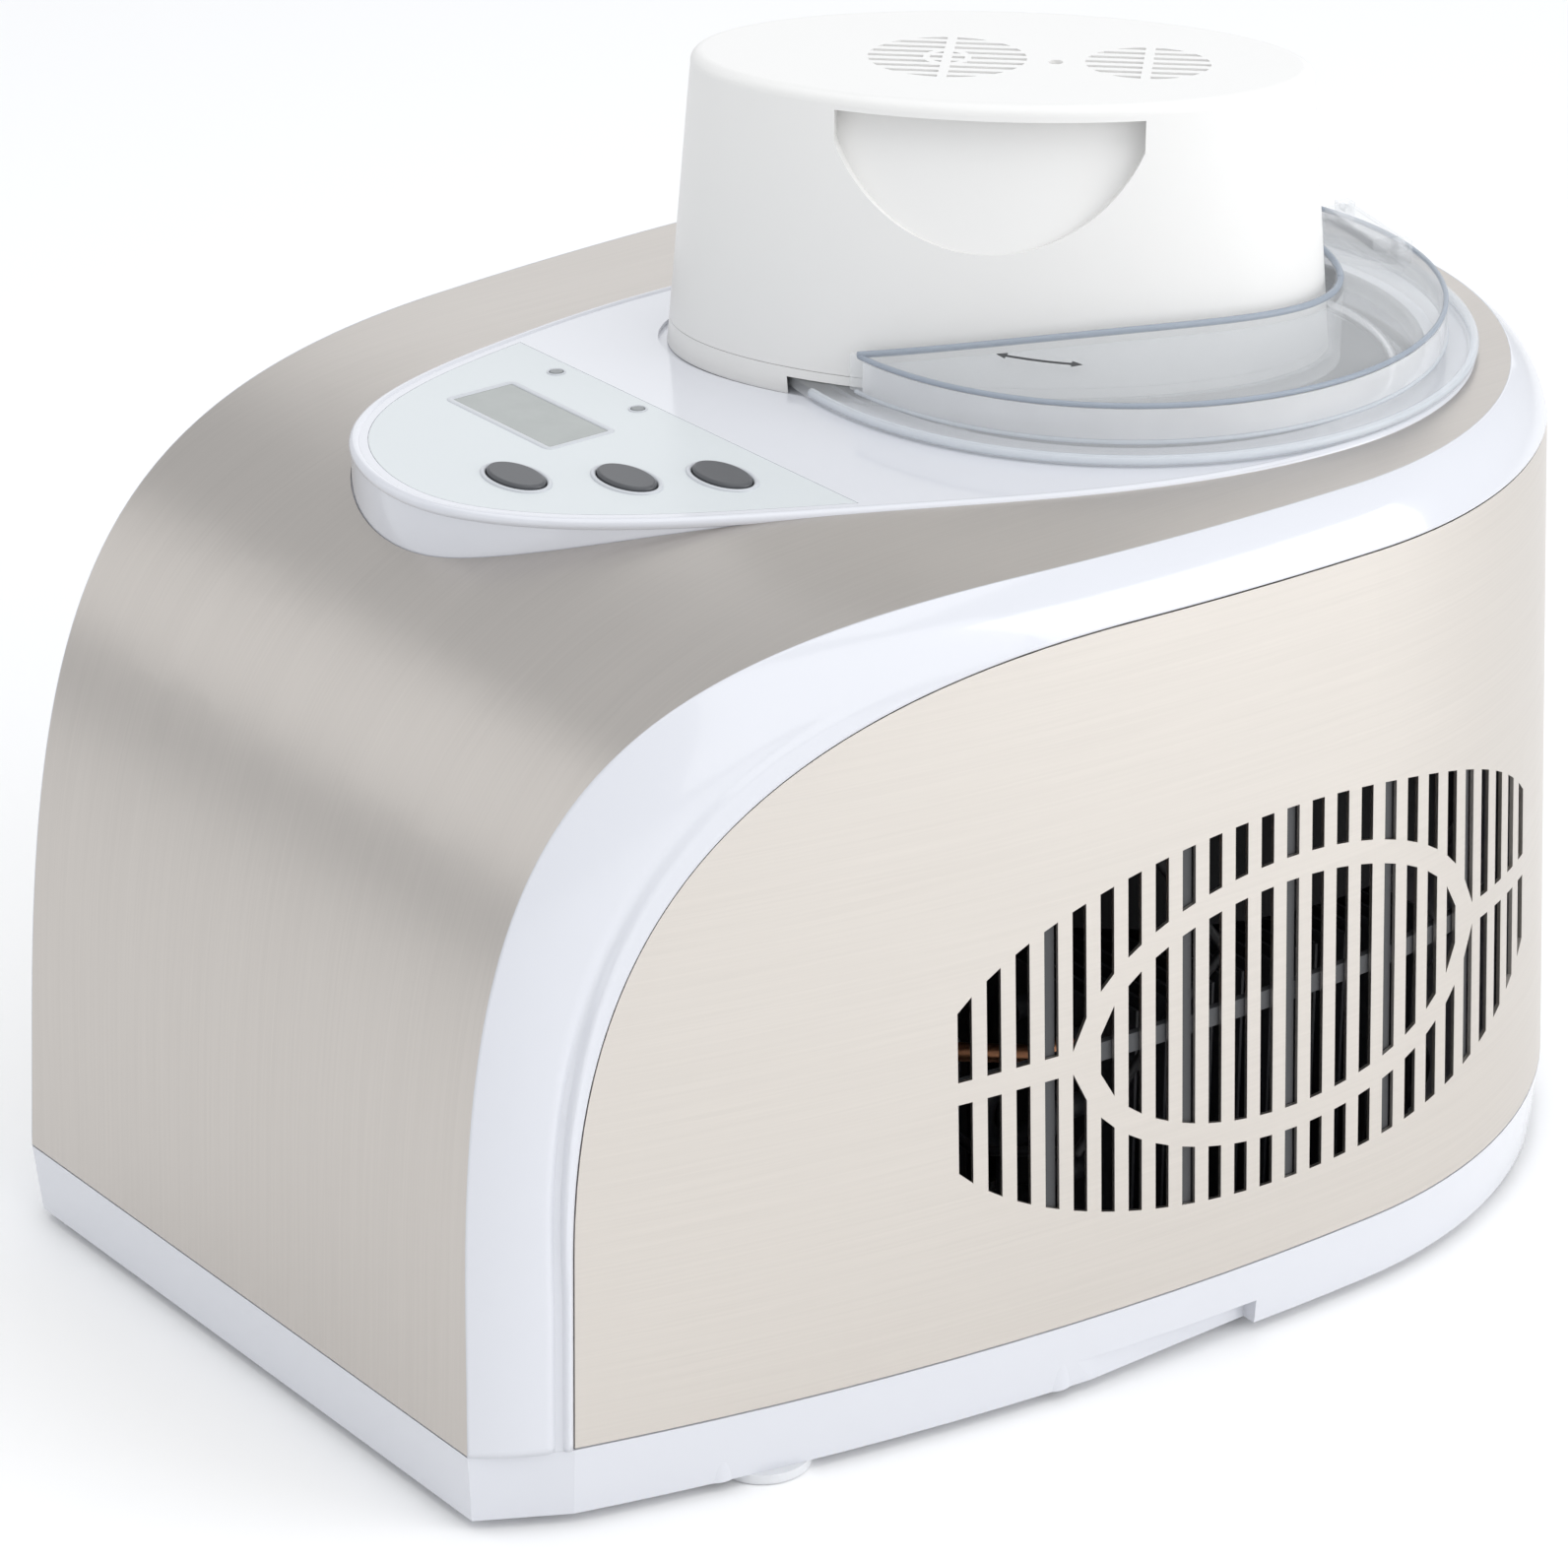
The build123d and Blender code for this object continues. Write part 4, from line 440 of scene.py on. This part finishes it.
MIRROR = np.array([-1, 1, 1])
rear_in = rear_half_circle(CROWN_RADIUS, TOP_Z)
rear_out = rear_half_circle(float(wall_half(REAR_Y, SIDE_TOP_Z)), SIDE_TOP_Z)
edge_in = np.concatenate([edge_in, rear_in, edge_in[::-1] * MIRROR])
edge_out = np.concatenate([edge_out, rear_out, edge_out[::-1] * MIRROR])
print("strip stations:", len(edge_in))


# %% Strip surface
def strip_surface(first, last, height, rows=41):
    """first + v (last - first) + height(v, z) n, with n the unit normal across the two edges."""
    v = np.linspace(0, 1, rows)
    across = last - first
    tangent = np.gradient(first + last, axis=0)
    normal = np.cross(across, tangent)
    normal /= np.linalg.norm(normal, axis=1, keepdims=True)
    flat = first[:, None] + v[None, :, None] * across[:, None]
    surface = flat + height(v[None, :], flat[..., 2])[..., None] * normal[:, None]
    surface[..., 1] = np.clip(surface[..., 1], 0.0, LENGTH - 0.1)
    return surface


CROWN, SEAT = 1.5, 0.15  # mm: rise in the middle, and all over
HOLLOW_DEPTH, HOLLOW_WIDTH = 1.5, 0.055  # depths in mm, widths as a share of the strip's
LIP_RISE, LIP_WIDTH, LIP_AWAY = 0.7, 0.035, 0.09


def strip_height(v, z):
    """Crown 4 v (1-v), less a hollow that moves from v = 0.86 low down to 0.74 higher up, plus a lip
    outside it. Both fade out from z = 100 to 205 mm by the smooth step 3 f^2 - 2 f^3."""
    fade = np.clip((205.0 - z) / 105.0, 0, 1)
    fade = fade * fade * (3 - 2 * fade)
    middle = 0.86 - 0.12 * np.clip((z - 60.0) / 120.0, 0, 1)
    crown = CROWN * 4 * v * (1 - v)
    hollow = HOLLOW_DEPTH * np.exp(-(((v - middle) / HOLLOW_WIDTH) ** 2))
    lip = LIP_RISE * np.exp(-(((v - middle - LIP_AWAY) / LIP_WIDTH) ** 2))
    return crown - fade * hollow + fade * lip + SEAT


grid_piece("strip_crown", strip_surface(edge_in, edge_out, strip_height), white_gloss, "machine",
           thick=0.8)

# %% [markdown]
# ## The insert's rounded edge
# The teardrop has a rounded rim all round. A line of points follows the outline, and a circle is
# swept along it, so the rim is one surface with its own highlight.

# %% Teardrop outline
TEARDROP = np.array([(-84.5, 262.0), (-84.6, 216.0), (-84.0, 176.0), (-78.8, 140.0), (-70.8, 108.0),
                     (-60.4, 86.2), (-46.7, 71.8), (-30.0, 63.4), (-12.5, 60.4), (0.8, 62.0),
                     (14.7, 68.8), (31.2, 83.8), (45.0, 103.0), (58.5, 127.0), (74.6, 158.0),
                     (90.4, 190.4), (101.6, 223.0), (106.5, 262.0)])


def smooth_line(points, count):
    """Cubic through the points, even in chord length h, with upright ends. The slopes m solve
    h[i] m[i-1] + 2 (h[i-1] + h[i]) m[i] + h[i-1] m[i+1] = 3 (h[i] s[i-1] + h[i-1] s[i]), with s the
    slopes of the chords, and then the Hermite pieces are summed."""
    n = len(points)
    t = np.concatenate([[0], np.cumsum(np.linalg.norm(np.diff(points, axis=0), axis=1))])
    h = np.diff(t)
    a = np.eye(n)
    rhs = np.zeros((n, 2))
    rhs[0], rhs[-1] = (0, -1), (0, 1)
    k = np.arange(1, n - 1)
    a[k, k - 1], a[k, k], a[k, k + 1] = h[k], 2 * (h[k - 1] + h[k]), h[k - 1]
    slope = np.diff(points, axis=0) / h[:, None]
    rhs[k] = 3 * (h[k, None] * slope[k - 1] + h[k - 1, None] * slope[k])
    m = np.linalg.solve(a, rhs)
    s = np.linspace(0, t[-1], count)
    j = np.clip(np.searchsorted(t, s, side="right") - 1, 0, n - 2)
    u = ((s - t[j]) / h[j])[:, None]
    hj = h[j, None]
    return ((2 * u**3 - 3 * u**2 + 1) * points[j] + (u**3 - 2 * u**2 + u) * hj * m[j]
            + (3 * u**2 - 2 * u**3) * points[j + 1] + (u**3 - u**2) * hj * m[j + 1])


front_line = smooth_line(TEARDROP, 320)
rear_centre = (TEARDROP[0] + TEARDROP[-1]) / 2
rear_radius = (TEARDROP[-1, 0] - TEARDROP[0, 0]) / 2
sweep = np.linspace(0, pi, 160)[1:-1, None]
rear_line = rear_centre + rear_radius * np.hstack([np.cos(sweep), np.sin(sweep)])
teardrop = np.concatenate([front_line, rear_line])
print("teardrop points:", len(teardrop))


# %% Rounded edge
def inward(line):
    """Unit normals of a closed plan line that turns left, pointing inwards."""
    d = np.roll(line, -1, 0) - np.roll(line, 1, 0)
    d /= np.linalg.norm(d, axis=1, keepdims=True)
    return np.column_stack([-d[:, 1], d[:, 0]])


INSERT_TOP, TIP_RISE = 214.0, 0.6
TIP_Y, FLAT_FROM = 60.4, 173.0


def insert_height(y):
    """The insert's top at y: flat from FLAT_FROM to the rear, and a little higher at the tip."""
    return np.maximum(INSERT_TOP, INSERT_TOP + TIP_RISE - TIP_RISE * (y - TIP_Y) / (FLAT_FROM - TIP_Y))


def swept_ring(line, normals, profile, base):
    """Points (n, m, 3): profile (m, 2) is (inwards, up), placed at each point of the line at
    height base(y)."""
    plan = line[:, None] + profile[None, :, :1] * normals[:, None]
    level = base(line[:, 1])[:, None] + profile[None, :, 1]
    return np.concatenate([plan, level[..., None]], -1)


EDGE_RADIUS, EDGE_SET = 1.5, 1.05  # the round's centre lies EDGE_SET in from the side and the top
t = np.linspace(0, 2 * pi, 25)[:-1]
edge_round = np.stack([EDGE_SET - EDGE_RADIUS * np.cos(t), EDGE_RADIUS * np.sin(t) - EDGE_SET], -1)
edge_points = swept_ring(teardrop, inward(teardrop), edge_round, insert_height)
grid_piece("insert_edge", edge_points, white_gloss, "machine", around=True, along=True)

# %% [markdown]
# ## Small things on the control panel
# Each button sits in a slim oval ring, and the display in a frame. An oval ring is a bead swept round
# an ellipse.

# %% Oval rings round the buttons and lamps
BUTTONS = np.array([(-0.2, 88.0), (16.8, 108.3), (29.2, 127.6)])
LAMPS = np.array([(-52.1, 137.6), (-19.1, 138.4)])


def oval_line(centre, half_x, half_y, count=96):
    """Ellipse centre + (a cos t, b sin t), turning left."""
    t = np.linspace(0, 2 * pi, count, endpoint=False)
    return np.column_stack([centre[0] + half_x * np.cos(t), centre[1] + half_y * np.sin(t)])


def bead_ring(name, line, width, height, sunk=0.2):
    """A low half-round bead on the film: width across, height above it, flat bottom sunk below it."""
    t = np.linspace(0, pi, 9)
    top = np.stack([width / 2 - width / 2 * np.cos(t), height * np.sin(t)], -1)
    profile = np.concatenate([top, [[width, -sunk], [0.0, -sunk]]])
    points = swept_ring(line, -inward(line), profile[::-1], insert_height)
    grid_piece(name, points, button_rim, "machine", around=True, along=True)


def box_line(x0, y0, x1, y1, corner, count=8):
    """Rectangle with round corners, turning left."""
    t = np.linspace(0, pi / 2, count)
    corners = ((x1 - corner, y1 - corner, 0), (x0 + corner, y1 - corner, pi / 2),
               (x0 + corner, y0 + corner, pi), (x1 - corner, y0 + corner, 3 * pi / 2))
    return np.concatenate([np.column_stack([cx + corner * np.cos(t + a), cy + corner * np.sin(t + a)])
                           for cx, cy, a in corners])


bead_ring("display_frame", box_line(-52.3, 106.1, -11.5, 123.9, corner=0.6), width=1.7, height=0.25)
for index, centre in enumerate(BUTTONS):
    bead_ring(f"button_ring_{index + 1}", oval_line(centre, 9.95, 5.75), width=1.3, height=0.5)
for index, centre in enumerate(LAMPS):
    bead_ring(f"lamp_ring_{index + 1}", oval_line(centre, 1.85, 1.85, count=32), width=0.6, height=0.3)

# %% [markdown]
# ## Painted light on the edges of the clear lid
# Clear plastic shows its form by its edges, which look thicker and bluer than its faces. Each edge is
# a thin round bead along a line in space: the rim of the socket for the drive unit, the shoulder, the
# foot of the wall and the edge of the flange. The rim and shoulder beads are dark blue-grey, partly the
# plastic's own tint and partly painted shade. The beads at the wall's foot and the flange are pale, a
# painted highlight.

# %% Bead along a line
def swept_piece(name, rings, material, smooth=True):
    """A lid piece from loops of points (n, m, 3) swept along a line, with both ends closed."""
    n, m = rings.shape[:2]
    index = np.arange(n * m).reshape(n, m)
    index = np.concatenate([index, index[:, :1]], 1)
    faces = grid_quads(index)[:, [0, 3, 2, 1]].tolist()
    faces += [list(range(m)), list(range(n * m - 1, (n - 1) * m - 1, -1))]
    mesh_piece(name, rings.reshape(-1, 3), faces, material, "lid", smooth=smooth)


def bead_piece(name, path, radius, material, sides=12):
    """A round bead of that radius along path (n, 3) in mm."""
    d = np.gradient(path, axis=0)
    d /= np.linalg.norm(d, axis=1, keepdims=True)
    side = np.cross(d, [0.0, 0.0, 1.0])
    side /= np.linalg.norm(side, axis=1, keepdims=True)
    up = np.cross(side, d)
    t = np.linspace(0, 2 * pi, sides, endpoint=False)[None, :, None]
    circles = radius * (np.cos(t) * side[:, None] + np.sin(t) * up[:, None])
    swept_piece(name, path[:, None] + circles, material)


# %% Lid edges
BOWL_AXIS = np.array([14.0, 266.0])
SHOULDER_RADIUS, SHOULDER_Z, ROOF_SLOPE = 83.0, 226.6, 0.32
DRIVE_AXIS, DRIVE_TURN = np.array([0.0, 237.6]), radians(45.5)
DRIVE_HALF_LONG, DRIVE_HALF_SHORT = 84.0, 47.0
along_axis = np.array([cos(DRIVE_TURN), sin(DRIVE_TURN)])
across_axis = np.array([sin(DRIVE_TURN), -cos(DRIVE_TURN)])
circle = np.linspace(0, 2 * pi, 720, endpoint=False)[:, None]


def roof_height(radius):
    """The roof is a cone that rises from the shoulder towards the bowl's axis."""
    return SHOULDER_Z + ROOF_SLOPE * (SHOULDER_RADIUS - radius)


def drive_oval(grow):
    """Plan points of the oval foot of the drive unit, made larger by grow."""
    long_way = (DRIVE_HALF_LONG + grow) * np.cos(circle) * along_axis
    return DRIVE_AXIS + long_way + (DRIVE_HALF_SHORT + grow) * np.sin(circle) * across_axis


def outside_drive(points, grow):
    """True where a plan point is outside that oval."""
    d = points - DRIVE_AXIS
    return (((d @ along_axis) / (DRIVE_HALF_LONG + grow)) ** 2
            + ((d @ across_axis) / (DRIVE_HALF_SHORT + grow)) ** 2 > 1)


def longest_run(keep):
    """Indices of the longest run of True in a closed sequence, in order."""
    n = len(keep)
    twice = np.concatenate([keep, keep])
    starts = np.flatnonzero(twice & ~np.roll(twice, 1))
    ends = np.flatnonzero(twice & ~np.roll(twice, -1))
    ends = np.array([ends[ends >= a][0] if (ends >= a).any() else a for a in starts])
    best = np.argmax(ends - starts)
    return np.arange(starts[best], ends[best] + 1) % n


def clear_of_drive(radius, grow):
    """Plan points of a circle round the bowl's axis, where it is outside the drive unit's oval."""
    plan = BOWL_AXIS + radius * np.hstack([np.cos(circle), np.sin(circle)])
    return plan[longest_run(outside_drive(plan, grow))]


def lid_arc(name, radius, z, bead, material, gap=1.6):
    """Bead on a circle round the bowl's axis, where it is clear of the drive unit by gap."""
    plan = clear_of_drive(radius, gap + bead)
    bead_piece(name, np.column_stack([plan, np.full(len(plan), z)]), bead, material)


# The socket rim and the shoulder get dark beads: the plastic's tint with painted shade.
RIM_BEAD, RIM_RAISED = 0.9, 0.1
rim_plan = drive_oval(grow=2.0)
away = np.linalg.norm(rim_plan - BOWL_AXIS, axis=1)
for side, sign in (("front", 1), ("rear", -1)):
    on_side = ((rim_plan - DRIVE_AXIS) @ across_axis) * sign > 0
    keep = longest_run((away < SHOULDER_RADIUS - 0.5) & on_side)
    rim = np.column_stack([rim_plan[keep], roof_height(away[keep]) + RIM_RAISED])
    bead_piece(f"lid_socket_rim_{side}", rim, RIM_BEAD, tinted_edge_painted_shade)
lid_arc("lid_shoulder_edge", 82.6, 226.7, 0.7, tinted_edge_painted_shade)
# The wall's foot and the flange's edge get pale beads: a painted highlight.
lid_arc("lid_wall_foot", 83.1, 217.5, 0.6, painted_highlight_rim)
lid_arc("lid_flange_edge", 90.2, 215.7, 1.25, painted_highlight_rim)
print("lid edges: 5")


# %% Painted sheen on the lid's upright wall
def painted_sheen_band(name, radius, low, high, thick, material, gap=4.0):
    """A thin band of painted sheen on the wall from height low to high, where the wall is clear of the
    drive unit. Its pale film stands in for the light that the wall reflects.
    """
    plan = clear_of_drive(radius, gap)
    out = (plan - BOWL_AXIS) / radius
    corners = [(0, low), (thick, low), (thick, high), (0, high)]
    rings = [np.column_stack([plan + a * out, np.full(len(plan), z)]) for a, z in corners]
    swept_piece(name, np.stack(rings, 1), material, smooth=False)


# The band paints a sheen on the wall, so that the wall looks lighter.
painted_sheen_band("lid_wall_sheen_painted", 83.05, 218.2, 226.0, 0.25, clear_wall_painted_sheen)

# %% [markdown]
# ## Turning mark on the lid
# A plain two-headed arrow on the roof shows which way the lid turns. It lies on the cone of the roof,
# so its height follows the distance from the axis.

# %% Two-headed arrow
def arrow_outline(radius, first, last, half, head_long, head_half, count=30):
    """Outline (radii, angles) of a curved arrow from angle first to last in degrees, with a head at
    each end. half and head_half are half the widths of the line and of a head."""
    a, b = radians(first), radians(last)
    reach = head_long / radius
    t = np.linspace(a + reach, b - reach, count)
    outer, inner = radius + head_half, radius - head_half
    radii = np.concatenate([[radius, outer], np.full(count, radius + half), [outer, radius, inner],
                            np.full(count, radius - half), [inner]])
    return radii, np.concatenate([[a, a + reach], t, [b - reach, b, b - reach], t[::-1], [a + reach]])


SUNK, RAISED = 0.05, 0.12  # the arrow's bottom is below the roof and its top above it
radii, angles = arrow_outline(68.2, -67.0, -48.6, half=0.28, head_long=2.6, head_half=1.0)
count = len(radii)
lower = np.column_stack([BOWL_AXIS[0] + radii * np.cos(angles), BOWL_AXIS[1] + radii * np.sin(angles),
                         roof_height(radii) - SUNK])
upper = lower + np.array([0.0, 0.0, SUNK + RAISED])
walls = [[i, (i + 1) % count, count + (i + 1) % count, count + i] for i in range(count)]
ends = [list(range(count - 1, -1, -1)), list(range(count, 2 * count))]
mesh_piece("lid_turn_mark", np.concatenate([lower, upper]), walls + ends, dark_plastic, "lid",
           smooth=False)
print("arrow corners:", count)
